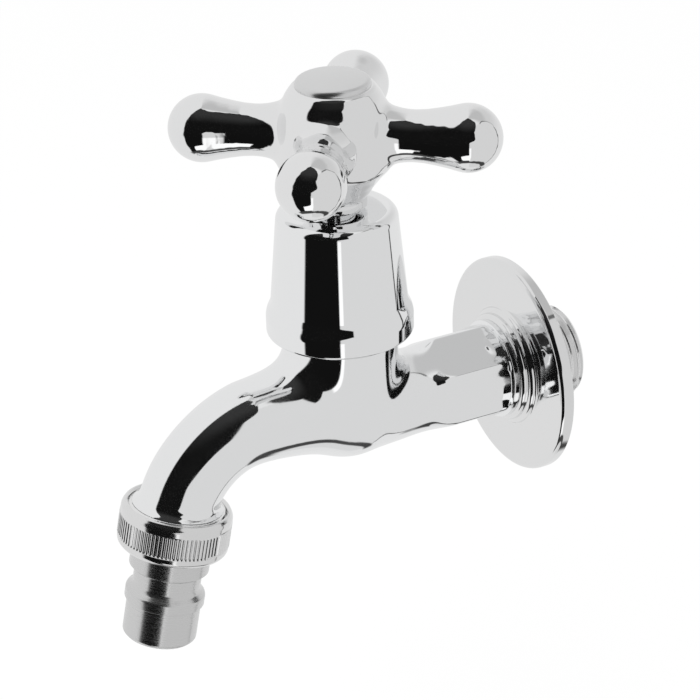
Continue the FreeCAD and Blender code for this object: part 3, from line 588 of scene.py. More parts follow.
class Wiring:
    """Adds and links nodes in one node tree."""

    def __init__(self, tree: bpy.types.NodeTree) -> None:
        """Take an empty tree.

        Args:
            tree: The node tree to fill.
        """
        self.tree = tree
        tree.nodes.clear()

    def add(self, kind: str, inputs: dict[str | int, object] | None = None,
            **settings: object) -> bpy.types.Node:
        """Add a node, set it and feed its inputs.

        Args:
            kind: Blender's name of the node type.
            inputs: Name or number of each input, and what goes into it.
            settings: What to set on the node itself.

        Returns:
            The new node.
        """
        node = self.tree.nodes.new(kind)
        for key, value in settings.items():
            setattr(node, key, value)
        for key, value in (inputs or {}).items():
            self.feed(node.inputs[key], value)
        return node

    def feed(self, socket: bpy.types.NodeSocket, value: object) -> None:
        """Link or set one input.

        Args:
            socket: The input.
            value: Another node's output, or a constant.
        """
        if isinstance(value, bpy.types.NodeSocket):
            self.tree.links.new(value, socket)
        else:
            socket.default_value = value

    def math(self, operation: str, first: Input, second: Input = 0.0) -> bpy.types.NodeSocket:
        """Work out one sum.

        Args:
            operation: Blender's name of it.
            first: Left side.
            second: Right side.

        Returns:
            The result.
        """
        return self.add("ShaderNodeMath", {0: first, 1: second}, operation=operation).outputs[0]

    def rise(self, value: Input, start: Input, end: Input, low: float = 0.0, high: float = 1.0,
             smooth: bool = True) -> bpy.types.NodeSocket:
        """Go from one value to another over a range.

        Args:
            value: What is compared.
            start: Where the rise starts.
            end: Where it ends.
            low: Result before the rise.
            high: Result after it.
            smooth: Whether the rise is rounded at both ends.

        Returns:
            The result.
        """
        curve = "SMOOTHSTEP" if smooth else "LINEAR"
        inputs = dict(enumerate((value, start, end, low, high)))
        node = self.add("ShaderNodeMapRange", inputs, interpolation_type=curve, clamp=True)
        return node.outputs[0]

    def within(self, value: Input, start: float, full: float, fading: float,
               gone: float) -> bpy.types.NodeSocket:
        """Mask a range with two soft edges.

        Args:
            value: What is compared.
            start: Where the mask starts to rise.
            full: Where it is 1.
            fading: Where it starts to fall.
            gone: Where it is 0 again.

        Returns:
            The mask.
        """
        return self.both(self.rise(value, start, full), self.rise(value, gone, fading))

    def both(self, *masks: Input) -> bpy.types.NodeSocket:
        """Multiply several masks.

        Args:
            masks: Values from 0 to 1.

        Returns:
            Their product.
        """
        result = masks[0]
        for mask in masks[1:]:
            result = self.math("MULTIPLY", result, mask)
        return result

    def blend(self, below: Input, above: Input, mask: Input) -> bpy.types.NodeSocket:
        """Lay one value over another.

        Args:
            below: Value where the mask is 0.
            above: Value where the mask is 1.
            mask: The mask.

        Returns:
            The mixture.
        """
        inputs = {0: mask, 2: below, 3: above}
        return self.add("ShaderNodeMix", inputs, data_type="FLOAT").outputs[0]

    def noise(self, vector: bpy.types.NodeSocket, scale: Input, detail: float,
              roughness: float) -> bpy.types.NodeSocket:
        """Add a noise texture.

        Args:
            vector: Where it is read.
            scale: Its scale.
            detail: Its detail.
            roughness: Its roughness.

        Returns:
            The noise, about 0.5.
        """
        inputs = {"Vector": vector, "Scale": scale, "Detail": detail, "Roughness": roughness}
        return self.add("ShaderNodeTexNoise", inputs).outputs[0]

    def surface(self, colour: object, metallic: float, roughness: Input,
                relief: tuple[bpy.types.NodeSocket, float]) -> None:
        """Join colour, roughness and relief in one surface.

        Args:
            colour: Its colour, or the output that gives it.
            metallic: 1 for metal, 0 for anything else.
            roughness: Its roughness.
            relief: The height over the surface, and how deep it is in metres.
        """
        height, depth = relief
        bump = self.add("ShaderNodeBump", {"Strength": 1.0, "Distance": depth, "Height": height})
        shader = self.add("ShaderNodeBsdfPrincipled", {
            "Base Color": colour, "Metallic": metallic, "Roughness": roughness,
            "Normal": bump.outputs[0],
        })
        self.add("ShaderNodeOutputMaterial", {"Surface": shader.outputs[0]})


def new_material(name: str) -> tuple[bpy.types.Material, Wiring]:
    """Start a material with an empty node tree.

    Args:
        name: Its name.

    Returns:
        The material and the wiring of its nodes.
    """
    material = bpy.data.materials.new(name)
    material.use_nodes = True
    return material, Wiring(material.node_tree)


Effect = tuple[bpy.types.NodeTree, Wiring, bpy.types.Node, bpy.types.Node]


def new_effect(name: str, inputs: dict[str, float | None], outputs: tuple[str, ...]) -> Effect:
    """Start a node group that several materials share.

    Args:
        name: Its name.
        inputs: Name and first value of each input, where None stands for a vector.
        outputs: Name of each output.

    Returns:
        The group, its wiring, and the nodes where its inputs and outputs are.
    """
    group = bpy.data.node_groups.new(name, "ShaderNodeTree")
    for label, default in inputs.items():
        kind = "NodeSocketVector" if default is None else "NodeSocketFloat"
        socket = group.interface.new_socket(label, in_out="INPUT", socket_type=kind)
        if default is not None:
            socket.default_value = default
    for label in outputs:
        group.interface.new_socket(label, in_out="OUTPUT", socket_type="NodeSocketFloat")
    wiring = Wiring(group)
    return group, wiring, wiring.add("NodeGroupInput"), wiring.add("NodeGroupOutput")


def handling_marks() -> bpy.types.NodeTree:
    """Build the shared effect of faint handling marks and casting waviness.

    Returns:
        A node group that puts out a mask of marks and a height.
    """
    name = "handling_marks"
    if name in bpy.data.node_groups:
        return bpy.data.node_groups[name]
    sizes = {"Mark size": 90.0, "Wave size": 60.0}
    group, wiring, inside, outside = new_effect(name, sizes, ("Marks", "Height"))
    spot = wiring.add("ShaderNodeTexCoord").outputs["Object"]
    marks = wiring.noise(spot, inside.outputs["Mark size"], 5.0, 0.65)
    waves = wiring.noise(spot, inside.outputs["Wave size"], 1.0, 0.4)
    wiring.feed(outside.inputs["Marks"], wiring.rise(marks, 0.42, 0.72))
    wiring.feed(outside.inputs["Height"], waves)
    return group


def turning_lines() -> bpy.types.NodeTree:
    """Build the shared effect of fine lathe lines round an axis.

    Returns:
        A node group that puts out the lines as a mask and as a height.
    """
    name = "turning_lines"
    if name in bpy.data.node_groups:
        return bpy.data.node_groups[name]
    inputs = {"Vector": None, "Lines per metre": 0.0}
    group, wiring, inside, outside = new_effect(name, inputs, ("Lines", "Height"))
    split = wiring.add("ShaderNodeSeparateXYZ", {0: inside.outputs["Vector"]})
    squares = [wiring.math("POWER", side, 2.0) for side in split.outputs[:2]]
    across = wiring.math("SQRT", wiring.math("ADD", *squares))
    density = inside.outputs["Lines per metre"]
    joined = wiring.add("ShaderNodeCombineXYZ", {
        0: wiring.math("MULTIPLY", across, density),
        2: wiring.math("MULTIPLY", split.outputs[2], density),
    })
    lines = wiring.noise(joined.outputs[0], 1.0, 4.0, 0.7)
    wiring.feed(outside.inputs["Lines"], wiring.rise(lines, 0.35, 0.7))
    wiring.feed(outside.inputs["Height"], lines)
    return group


@dataclass(frozen=True)
class Chrome:
    """Bright chrome plate."""

    name: str
    roughness: float = 0.045
    marked: float = 0.03
    colour: Colour = (0.90, 0.905, 0.91, 1.0)
    wave: float = 0.00002
    wave_scale: float = 90.0

    def material(self) -> bpy.types.Material:
        """Build the plate's material.

        Returns:
            The material.
        """
        material, wiring = new_material(self.name)
        effect = wiring.add("ShaderNodeGroup", {"Wave size": self.wave_scale},
                            node_tree=handling_marks())
        marks, waves = effect.outputs["Marks"], effect.outputs["Height"]
        roughness = wiring.rise(marks, 0.0, 1.0, self.roughness, self.roughness + self.marked)
        wiring.surface(self.colour, 1.0, roughness, (waves, self.wave))
        return material


@dataclass(frozen=True)
class TurnedChrome:
    """Chrome over a turned face: fine lines run round the axis."""

    name: str
    origin: tuple[float, float, float]
    axis: tuple[float, float, float]
    roughness: float = 0.16
    marked: float = 0.10
    lines: float = 5000.0
    line_depth: float = 0.000004
    colour: Colour = (0.86, 0.86, 0.86, 1.0)

    def material(self) -> bpy.types.Material:
        """Build the plate's material.

        Returns:
            The material.
        """
        material, wiring = new_material(self.name)
        spot = wiring.add("ShaderNodeTexCoord").outputs["Object"]
        away = wiring.add("ShaderNodeVectorMath", {0: spot, 1: self.origin}, operation="SUBTRACT")
        turn = Vector(self.axis).rotation_difference(Vector((0, 0, 1))).to_euler()
        mapping = wiring.add("ShaderNodeMapping", {"Vector": away.outputs[0], "Rotation": turn},
                             vector_type="POINT")
        inputs = {"Vector": mapping.outputs[0], "Lines per metre": self.lines}
        effect = wiring.add("ShaderNodeGroup", inputs, node_tree=turning_lines())
        lines, relief = effect.outputs["Lines"], effect.outputs["Height"]
        roughness = wiring.rise(lines, 0.0, 1.0, self.roughness, self.roughness + self.marked)
        wiring.surface(self.colour, 1.0, roughness, (relief, self.line_depth))
        return material


@dataclass(frozen=True)
class Plain:
    """A plain finish of an inner part: bare metal, rubber, fibre or plastic."""

    name: str
    dark: tuple[float, float, float]
    light: tuple[float, float, float]
    metallic: float
    roughness: float
    grain: float = 700.0
    depth: float = 0.00002
    spread: float = 0.12

    def material(self) -> bpy.types.Material:
        """Build the finish.

        Returns:
            The material.
        """
        material, wiring = new_material(self.name)
        spot = wiring.add("ShaderNodeTexCoord").outputs["Object"]
        grain = wiring.noise(spot, self.grain, 4.0, 0.6)
        ramp = wiring.add("ShaderNodeValToRGB", {0: grain})
        ends = ((0.3, self.dark), (0.7, self.light))
        for element, (position, colour) in zip(ramp.color_ramp.elements, ends):
            element.position, element.color = position, (*colour, 1.0)
        low, high = self.roughness - self.spread / 2, self.roughness + self.spread / 2
        roughness = wiring.rise(grain, 0.2, 0.8, low, high)
        wiring.surface(ramp.outputs[0], self.metallic, roughness, (grain, self.depth))
        return material


INNER_FINISHES: dict[str, Plain | Chrome] = {
    "brass": Plain("turned_brass", (0.42, 0.28, 0.10), (0.62, 0.44, 0.18), 1.0, 0.32),
    "steel": Plain("zinc_steel", (0.42, 0.43, 0.44), (0.60, 0.61, 0.62), 1.0, 0.34),
    "spring_steel": Plain("spring_steel_wire", (0.24, 0.24, 0.25), (0.40, 0.40, 0.41), 1.0, 0.30),
    "rubber": Plain("black_rubber", (0.012, 0.012, 0.012), (0.035, 0.035, 0.035), 0.0, 0.62,
                    grain=1500.0),
    "fibre": Plain("red_fibre", (0.20, 0.045, 0.03), (0.34, 0.09, 0.055), 0.0, 0.80, 1200.0),
    "ptfe": Plain("white_ptfe", (0.74, 0.74, 0.72), (0.84, 0.84, 0.82), 0.0, 0.50, 900.0),
    "chrome_cast": Chrome("inner_cast_chrome"),
    "chrome_sheet": Chrome("inner_sheet_chrome"),
    "chrome_turned": Chrome("inner_turned_chrome", roughness=0.12),
}


# ---------------------------------------------------------------- the tap's sub-assemblies


@dataclass
class CastBody:
    """The tap's casting with its two threaded ends."""

    layout: Layout
    chamber_radius: float = 12.4
    chamber_top: float = 21.0
    chamber_waist: float = 0.5
    chamber_foot: float = -9.0
    chamber_base: float = 0.32
    root_height: float = 4.2
    root_radius: float = 11.4
    root_slope: float = 2.0
    root_taper: tuple[Share, ...] = ((0.36, 11.2), (0.54, 10.6), (0.7, 9.95), (0.84, 9.5))
    bend_start: float = 4.0
    bend_start_radius: float = 9.15
    bend_step: float = 3.0
    bend_taper: float = 45.0
    bend_radius: float = 18.6
    bend_flat: float = 0.8
    spout_radius: float = 8.5
    flare_radius: float = 10.1
    flare_angle: float = 6.0
    flare_lead: float = 4.0
    flare_lip: float = 1.5
    flare_curve: tuple[Share, ...] = (
        (1.0, 0.0), (0.55, 0.12), (0.28, 0.38), (0.12, 0.72), (0.0, 1.0),
    )
    tube_radius: float = 9.6
    hex_flats: float = 19.6
    hex_near: float = 22.7
    hex_far: float = 7.3
    hex_runout: float = 6.0
    hex_taper: float = 0.82
    hex_edge: float = 0.7
    neck_radius: float = 10.2
    shoulder_radius: float = 11.0
    shoulder_front: float = 7.0
    shoulder_back: float = 5.7
    inlet_bore: float = 6.5
    outlet_bore: float = 5.6
    outlet_length: float = 4.4
    thread_front: float = 1.0
    thread_gap: float = 0.05
    thread_chamfer: float = 1.0
    outlet_sink: float = 7.0
    inlet_sink: float = 30.0
    grain: float = 0.32
    skin_rounds: int = 30
    fillet_rounds: int = 900
    fillet_reach: float = 9.0
    fillet_strength: float = 1.5
    spout_joint: float = 10.2
    inlet_hold: float = 2.5
    runout_rounds: int = 60
    runout_reach: float = 2.0
    thread: PipeThread = field(default_factory=PipeThread)

    def chamber(self) -> bpy.types.Object:
        """Turn the upright valve chamber with its rounded foot.

        Returns:
            The blank.
        """
        base, waist, radius = self.chamber_base, self.chamber_waist, self.chamber_radius
        drop = waist - self.chamber_foot
        lathe = Lathe("chamber", 72, (radius * base, self.chamber_foot))
        for angle in range(20, 91, 10):
            turn = math.radians(angle)
            reach = base + (1 - base) * math.sin(turn)
            lathe.draw((radius * reach, waist - drop * math.cos(turn)))
        lathe.draw((radius, self.chamber_top)).cap_ends()
        blank = lathe.done()
        place(blank, self.layout.on_valve(0.0))
        return blank

    def bend_point(self, slope: float) -> Vector:
        """Find a point of the spout's centre line in the bend.

        Args:
            slope: Slope of the line there, in degrees.

        Returns:
            The point.
        """
        end = self.end_slope()
        down, along = math.sin(math.radians(slope)), math.cos(math.radians(slope))
        end_down, end_along = math.sin(math.radians(end)), math.cos(math.radians(end))
        centre = self.layout.outlet + Vector((0, self.bend_radius * end_down,
                                              -self.bend_radius * end_along))
        share = (slope - self.bend_start) / (end - self.bend_start)
        radius = self.bend_radius - self.bend_flat * math.sin(math.pi * share)
        return centre + Vector((0, -radius * down, radius * along))

    def end_slope(self) -> float:
        """Work out the slope of the outlet axis, in degrees."""
        axis = self.layout.outlet_axis
        return math.degrees(math.atan2(-axis.z, -axis.y))

    def stations(self, root: Vector) -> list[tuple[Vector, float, float]]:
        """List where the spout is drawn to, from the chamber to the outlet.

        Args:
            root: Where the spout starts, inside the chamber.

        Returns:
            Centre, slope in degrees and radius at each station.
        """
        end, bend = self.end_slope(), self.bend_point(self.bend_start)
        stations = [(root.lerp(bend, share), self.root_slope, radius)
                    for share, radius in self.root_taper]
        stations.append((bend, self.bend_start, self.bend_start_radius))
        slope = self.bend_start
        while slope < end - self.flare_angle - self.flare_lead:
            slope += self.bend_step
            share = max(0.0, 1 - (slope - self.bend_start) / self.bend_taper) ** 2
            radius = self.spout_radius + (self.bend_start_radius - self.spout_radius) * share
            stations.append((self.bend_point(slope), slope, radius))
        for share, rise in self.flare_curve:
            slope = end - self.flare_angle * share
            radius = self.spout_radius + (self.flare_radius - self.spout_radius) * rise
            stations.append((self.bend_point(slope), slope, radius))
        lip = self.bend_point(end) + self.layout.outlet_axis * self.flare_lip
        return [*stations, (lip, end, self.flare_radius)]

    def spout(self) -> bpy.types.Object:
        """Draw the spout out of the chamber and round its bend.

        Returns:
            The blank.
        """
        put_down()
        at = self.layout.valve + Vector((0, 0, self.root_height))
        tilt, radius = 0.0, self.root_radius
        bpy.ops.mesh.primitive_circle_add(vertices=96, radius=radius, fill_type="NGON",
                                          location=at, rotation=(math.radians(90), 0, 0))
        blank = first_form("spout")
        for spot, slope, next_radius in self.stations(at):
            bpy.ops.mesh.extrude_region_move(TRANSFORM_OT_translate={"value": tuple(spot - at)})
            scale = next_radius / radius
            bpy.ops.transform.resize(value=(scale, scale, scale), center_override=spot)
            bpy.ops.transform.rotate(value=-math.radians(slope - tilt), orient_axis="X",
                                     center_override=spot)
            at, tilt, radius = spot, slope, next_radius
        point_outwards(blank)
        return blank

    def inlet_tube(self) -> bpy.types.Object:
        """Turn the inlet tube from its neck into the chamber.

        Returns:
            The blank.
        """
        reach, neck, tube = -self.layout.valve.y, self.neck_radius, self.tube_radius
        near, far, wall = self.hex_near, self.hex_far, reach - self.chamber_radius
        lathe = Lathe("inlet_tube", 72, (neck, self.shoulder_front - 1.0))
        lathe.draw((neck, far + 3.0), (tube - 0.4, far + 5.0), (tube - 0.1, near - 3.0),
                   (tube - 0.1, near), (tube - 0.1, wall - 5.0), (tube + 0.1, wall - 2.0),
                   (tube + 0.6, wall), (tube + 0.6, reach))
        blank = lathe.cap_ends().done()
        place(blank, self.layout.on_wall())
        return blank

    def spanner_flats(self) -> bpy.types.Object:
        """Set the spanner flats round the inlet tube and run them out towards the chamber.

        Returns:
            The blank.
        """
        put_down()
        middle = Vector((self.layout.valve.x, -(self.hex_near + self.hex_far) / 2, 0))
        bpy.ops.mesh.primitive_cylinder_add(
            vertices=6, radius=self.hex_flats / math.sqrt(3), depth=self.hex_near - self.hex_far,
            location=middle, rotation=(math.radians(90), 0, 0))
        flats = first_form("spanner_flats")
        near = -self.hex_near
        select_points(flats, lambda co: co.y < near + 0.1)
        bpy.ops.mesh.extrude_region_move(TRANSFORM_OT_translate={"value": (0, -self.hex_runout, 0)})
        bpy.ops.transform.resize(value=(self.hex_taper, 1, self.hex_taper),
                                 center_override=(middle.x, near - self.hex_runout, 0))
        bpy.ops.mesh.select_all(action="SELECT")
        bpy.ops.mesh.bevel(offset=self.hex_edge, segments=4, affect="EDGES")
        point_outwards(flats)
        return flats

    def near_joint(self, co: Vector) -> float:
        """Weigh a place by how near it is to where spout and inlet meet the chamber.

        Args:
            co: The place.

        Returns:
            How strongly it is smoothed, 0 or less for not at all.
        """
        side, reach = co.x - self.layout.valve.x, co.y - self.layout.valve.y
        wall = abs(math.hypot(side, reach) - self.chamber_radius)
        if reach < 0:
            tube = abs(math.hypot(side, co.z - self.root_height) - self.spout_joint)
        else:
            tube = abs(math.hypot(side, co.z) - self.tube_radius) + self.inlet_hold
        return self.fillet_strength - (wall + tube) / self.fillet_reach

    def near_runout(self, co: Vector) -> float:
        """Weigh a place by how near it is to where the spanner flats run out."""
        return 1.0 - abs(co.y + self.hex_near) / self.runout_reach

    def casting(self) -> bpy.types.Object:
        """Fuse the blanks, round the joints between them and face both ends off.

        Returns:
            The casting.
        """
        blanks = [self.chamber(), self.spout(), self.inlet_tube(), self.spanner_flats()]
        skin = join(blanks, "cast_body")
        fuse_as_cast(skin, self.grain, self.skin_rounds)
        polish_zone(skin, self.near_joint, self.fillet_rounds)
        polish_zone(skin, self.near_runout, self.runout_rounds)
        outlet, axis = self.layout.outlet, self.layout.outlet_axis
        face_off(skin, outlet, axis, (self.outlet_bore, self.outlet_sink), self.flare_radius)
        front = Vector((self.layout.valve.x, -self.shoulder_front - 0.05, 0))
        wallwards = Vector((0, 1, 0))
        face_off(skin, front, wallwards, (self.inlet_bore, self.inlet_sink), self.neck_radius)
        shade(skin, 40.0, weighted=False)
        return skin

    def neck(self) -> bpy.types.Object:
        """Turn the neck with the shoulder that the rosette bears on.

        Returns:
            The piece.
        """
        bore, neck, shoulder = self.inlet_bore, self.neck_radius, self.shoulder_radius
        front, back, foot = self.shoulder_front, self.shoulder_back, self.thread_front - 0.1
        lathe = Lathe("inlet_neck", 144, (bore, front + 0.3))
        lathe.draw((neck - 0.2, front + 0.3), (shoulder, front), (shoulder, back), (neck, back),
                   (neck, foot), (bore, foot), (bore, front + 0.3))
        lathe.close().soften((shoulder, front, 0.25), (shoulder, back, 0.2))
        piece = lathe.done()
        place(piece, self.layout.on_wall())
        shade(piece)
        return piece

    def threaded_end(self, name: str, low: float, high: float, bore: float,
                     chamfered: float) -> bpy.types.Object:
        """Turn a threaded end and cut its thread.

        Args:
            name: Name of the piece.
            low: Height where it starts.
            high: Height where it ends.
            bore: Radius of its bore.
            chamfered: Height of the end that has the chamfer.

        Returns:
            The piece.
        """
        crest, chamfer = self.thread.crest, self.thread_chamfer
        rings = [(bore, low), (crest - 0.2, low), (crest, low + 0.2), (crest, high - 0.2),
                 (crest - 0.2, high), (bore, high), (bore, low)]
        if chamfered == low:
            rings[1:3] = [(crest - chamfer, low), (crest, low + chamfer)]
        else:
            rings[3:5] = [(crest, high - chamfer), (crest - chamfer, high)]
        lathe = Lathe(name, 144, rings[0])
        blank = lathe.draw(*rings[1:]).close().done()
        piece = self.thread.cut(blank, low, high)
        shade(piece, 35.0)
        return piece

    def build(self) -> list[bpy.types.Object]:
        """Build all pieces of the casting.

        Returns:
            The pieces, dressed and hung on the tap's body.
        """
        casting, neck = self.casting(), self.neck()
        back, bore = -self.layout.thread_end, self.inlet_bore
        inlet = self.threaded_end("inlet_thread", back, self.thread_front, bore, back)
        place(inlet, self.layout.on_wall())
        length, bore = self.outlet_length, self.outlet_bore
        outlet = self.threaded_end("outlet_thread", self.thread_gap, length, bore, length)
        place(outlet, self.layout.on_outlet())
        cut = TurnedChrome("thread_chrome", (0, 0, 0), (0, -1, 0), roughness=0.14).material()
        dressed = {
            casting: Chrome("cast_chrome", roughness=0.06).material(),
            neck: Chrome("neck_chrome", roughness=0.06).material(),
            inlet: cut,
            outlet: cut,
        }
        for piece, finish in dressed.items():
            hand_over(piece, finish, Body.TAP, Slot.CAST, "body")
        return list(dressed)


@dataclass
class Shroud:
    """The bell-shaped cover over the bonnet."""

    layout: Layout
    height: float = 27.8
    sheet: float = 1.2
    bead_radius: float = 15.7
    bead_height: float = 4.4
    bead_slope: float = 2.4
    wall_foot: float = 14.6
    wall_top: float = 12.7
    top_round: float = 2.0
    foot_round: float = 0.7
    bead_round: float = 0.9
    slope_round: float = 0.8
    hole: float = 5.2

    def build(self) -> bpy.types.Object:
        """Turn the bell with its bead, its wall and the hole in its top.

        Returns:
            The piece, dressed and hung on the tap's body.
        """
        bead, wall, top, sheet = self.bead_radius, self.wall_foot, self.wall_top, self.sheet
        slope = self.bead_height + self.bead_slope
        lathe = Lathe("bonnet_shroud_skin", 192, (bead - sheet, 0.0))
        lathe.draw((bead, 0.0), (bead, self.bead_height), (wall, slope),
                   (top, self.height), (self.hole, self.height), (self.hole, self.height - sheet),
                   (top - sheet, self.height - sheet), (wall - sheet, slope),
                   (bead - sheet, self.bead_height - 0.5), (bead - sheet, 0.0))
        lathe.close()
        lathe.soften((top, self.height, self.top_round), steps=12)
        lathe.soften((bead, 0.0, self.foot_round), (bead, self.bead_height, self.bead_round),
                     (wall, slope, self.slope_round), steps=8)
        lathe.soften((bead - sheet, 0.0, 0.2), (self.hole, self.height, 0.25), steps=3)
        piece = lathe.done()
        place(piece, self.layout.on_valve(self.layout.shroud_foot))
        shade(piece)
        finish = Chrome("sheet_chrome", roughness=0.03).material()
        hand_over(piece, finish, Body.TAP, Slot.SHEET, "bonnet_shroud")
        return piece


@dataclass
class Rosette:
    """The pressed rosette that stands against the wall."""

    layout: Layout
    radius: float = 24.1
    depth: float = 3.0
    sheet: float = 0.9
    outer_ring: float = 12.9
    outer_height: float = 1.3
    inner_ring: float = 12.0
    inner_height: float = 1.4
    ring_slope: float = 0.5
    rim_round: float = 1.3
    outer_round: float = 0.8
    inner_round: float = 1.0
    foot_round: float = 0.4
    hole: float = 10.55

    def build(self) -> bpy.types.Object:
        """Turn the rosette with its rim and its two hub rings.

        Returns:
            The piece, dressed and hung on the tap's body.
        """
        rim, hole, outer, inner = self.radius, self.hole, self.outer_ring, self.inner_ring
        face, back = self.depth, self.depth - self.sheet
        step = face + self.outer_height
        front = step + self.inner_height
        lathe = Lathe("wall_rosette", 224, (rim - self.sheet, 0.0))
        lathe.draw((rim, 0.0), (rim, face), (outer + self.ring_slope, face), (outer, step),
                   (inner + 0.15, step), (inner, front), (hole, front), (hole, back),
                   (rim - self.sheet, back), (rim - self.sheet, 0.0))
        lathe.close()
        lathe.soften((rim, face, self.rim_round), (outer, step, self.outer_round),
                     (inner, front, self.inner_round), steps=8)
        lathe.soften((outer + self.ring_slope, face, self.foot_round), steps=5)
        lathe.soften((rim, 0.0, 0.2), (hole, front, 0.2), steps=3)
        piece = lathe.done()
        place(piece, self.layout.on_wall())
        shade(piece)
        finish = Chrome("rosette_chrome", roughness=0.05, marked=0.04,
                        colour=(0.83, 0.832, 0.834, 1.0)).material()
        hand_over(piece, finish, Body.TAP, Slot.SHEET, "wall_flange")
        return piece


@dataclass
class CrossHandle:
    """The cast cross handle and the button in its top."""

    layout: Layout
    collar_radius: float = 6.6
    collar_height: float = 2.3
    hub_radius: float = 12.4
    hub_top: float = 26.5
    hub_foot: tuple[Ring, ...] = (
        (7.3, 3.1), (8.2, 4.7), (9.4, 6.2), (9.9, 6.9), (10.7, 7.8), (11.9, 9.0), (12.4, 10.6),
    )
    hub_dome: tuple[Ring, ...] = (
        (12.4, 16.8), (12.15, 19.2), (11.35, 21.6), (10.0, 24.4), (8.95, 25.9), (8.3, 26.5),
    )
    arm_height: float = 15.84
    neck_radius: float = 5.4
    neck_reach: float = 16.8
    ball_radius: float = 7.16
    ball_reach: float = 27.71
    arms: int = 4
    cap_radius: float = 7.95
    cap_rim: float = 2.2
    cap_dome: float = 0.7
    cap_round: float = 1.0
    cap_rings: tuple[float, ...] = (0.82, 0.72, 0.62, 0.5, 0.38, 0.26, 0.13, 0.05)
    grain: float = 0.3
    skin_rounds: int = 8
    fillet_rounds: int = 90
    fillet_reach: float = 5.0
    fillet_strength: float = 1.1
    arm_joint: float = 5.9
    hub_rounds: int = 30
    hub_strength: float = 0.8

    def hub(self) -> bpy.types.Object:
        """Turn the hub from its collar up to its top.

        Returns:
            The blank.
        """
        lathe = Lathe("hub", 96, (self.collar_radius, 0.0))
        lathe.draw((self.collar_radius, self.collar_height), *self.hub_foot, *self.hub_dome)
        return lathe.cap_ends().done()

    def arm(self) -> bpy.types.Object:
        """Turn one arm with its ball end.

        Returns:
            The blank, lying along X.
        """
        lathe = Lathe("arm", 64, (6.3, 0.0))
        lathe.draw((6.3, 11.5), (5.7, 13.6), (self.neck_radius + 0.05, 15.4),
                   (self.neck_radius, self.neck_reach), (5.55, 19.0), (5.95, 21.5), (6.45, 24.0))
        for angle in range(-15, 90, 8):
            turn = math.radians(angle)
            lathe.draw((self.ball_radius * math.cos(turn),
                        self.ball_reach + self.ball_radius * math.sin(turn)))
        lathe.draw((0.0, self.ball_reach + self.ball_radius))
        blank = lathe.cap_ends().done()
        place(blank, Matrix.Rotation(math.radians(90), 4, "Y"))
        return blank

    def near_joint(self, co: Vector) -> float:
        """Weigh a place by how near it is to where an arm leaves the hub.

        Args:
            co: The place.

        Returns:
            How strongly it is smoothed, 0 or less for not at all.
        """
        across = min(abs(co.x), abs(co.y))
        arm = abs(math.hypot(across, co.z - self.arm_height) - self.arm_joint)
        wall = abs(math.hypot(co.x, co.y) - self.hub_radius)
        return self.fillet_strength - (arm + wall) / self.fillet_reach

    def on_hub(self, co: Vector) -> float:
        """Weigh a place of the hub, where its collar and its top edge stay crisp.

        Args:
            co: The place.

        Returns:
            How strongly it is smoothed.
        """
        near = math.hypot(co.x, co.y) < self.hub_radius + 0.3
        between = self.collar_height + 3.2 < co.z < self.hub_top - 0.6
        return self.hub_strength if near and between else 0.0

    def casting(self) -> bpy.types.Object:
        """Fuse hub and arms and round the joints between them.

        Returns:
            The casting.
        """
        pattern = self.arm()
        blanks = [self.hub()]
        for number in range(self.arms):
            copy = pattern.copy()
            copy.data = pattern.data.copy()
            bpy.context.collection.objects.link(copy)
            turn = Matrix.Rotation(number * math.tau / self.arms, 4, "Z")
            place(copy, Matrix.Translation((0, 0, self.arm_height)) @ turn)
            blanks.append(copy)
        bpy.data.objects.remove(pattern)
        skin = join(blanks, "cross_handle_skin")
        fuse_as_cast(skin, self.grain, self.skin_rounds)
        polish_zone(skin, self.near_joint, self.fillet_rounds)
        polish_zone(skin, self.on_hub, self.hub_rounds)
        turn = math.radians(90) - self.layout.handle_turn
        place(skin, self.layout.on_valve(self.layout.handle_foot, turn))
        shade(skin, 45.0, weighted=False)
        return skin

    def cap(self) -> bpy.types.Object:
        """Turn the domed button.

        Returns:
            The piece.
        """
        radius, rim, dome = self.cap_radius, self.cap_rim, self.cap_dome
        curve = (radius * radius / dome + dome) / 2
        lathe = Lathe("handle_button", 144, (radius - 0.5, 0.3))
        lathe.draw((radius, 0.55), (radius, rim))
        for share in self.cap_rings:
            reach = radius * share
            lathe.draw((reach, rim + dome - curve + math.sqrt(curve**2 - reach**2)))
        lathe.draw((0.0, rim + dome)).cap_ends()
        lathe.soften((radius, rim, self.cap_round), steps=10)
        piece = lathe.done()
        place(piece, self.layout.on_valve(self.layout.handle_top))
        shade(piece)
        return piece

    def build(self) -> list[bpy.types.Object]:
        """Build the handle and its button.

        Returns:
            The pieces, dressed and hung on the handle's body.
        """
        casting, cap = self.casting(), self.cap()
        bright = Chrome("handle_chrome", colour=(0.86, 0.862, 0.865, 1.0)).material()
        satin = Chrome("button_chrome", roughness=0.28, colour=(0.74, 0.742, 0.744, 1.0)).material()
        hand_over(casting, bright, Body.HANDLE, Slot.CAST, "cross_handle")
        hand_over(cap, satin, Body.HANDLE, Slot.SHEET, "handle_cap")
        return [casting, cap]


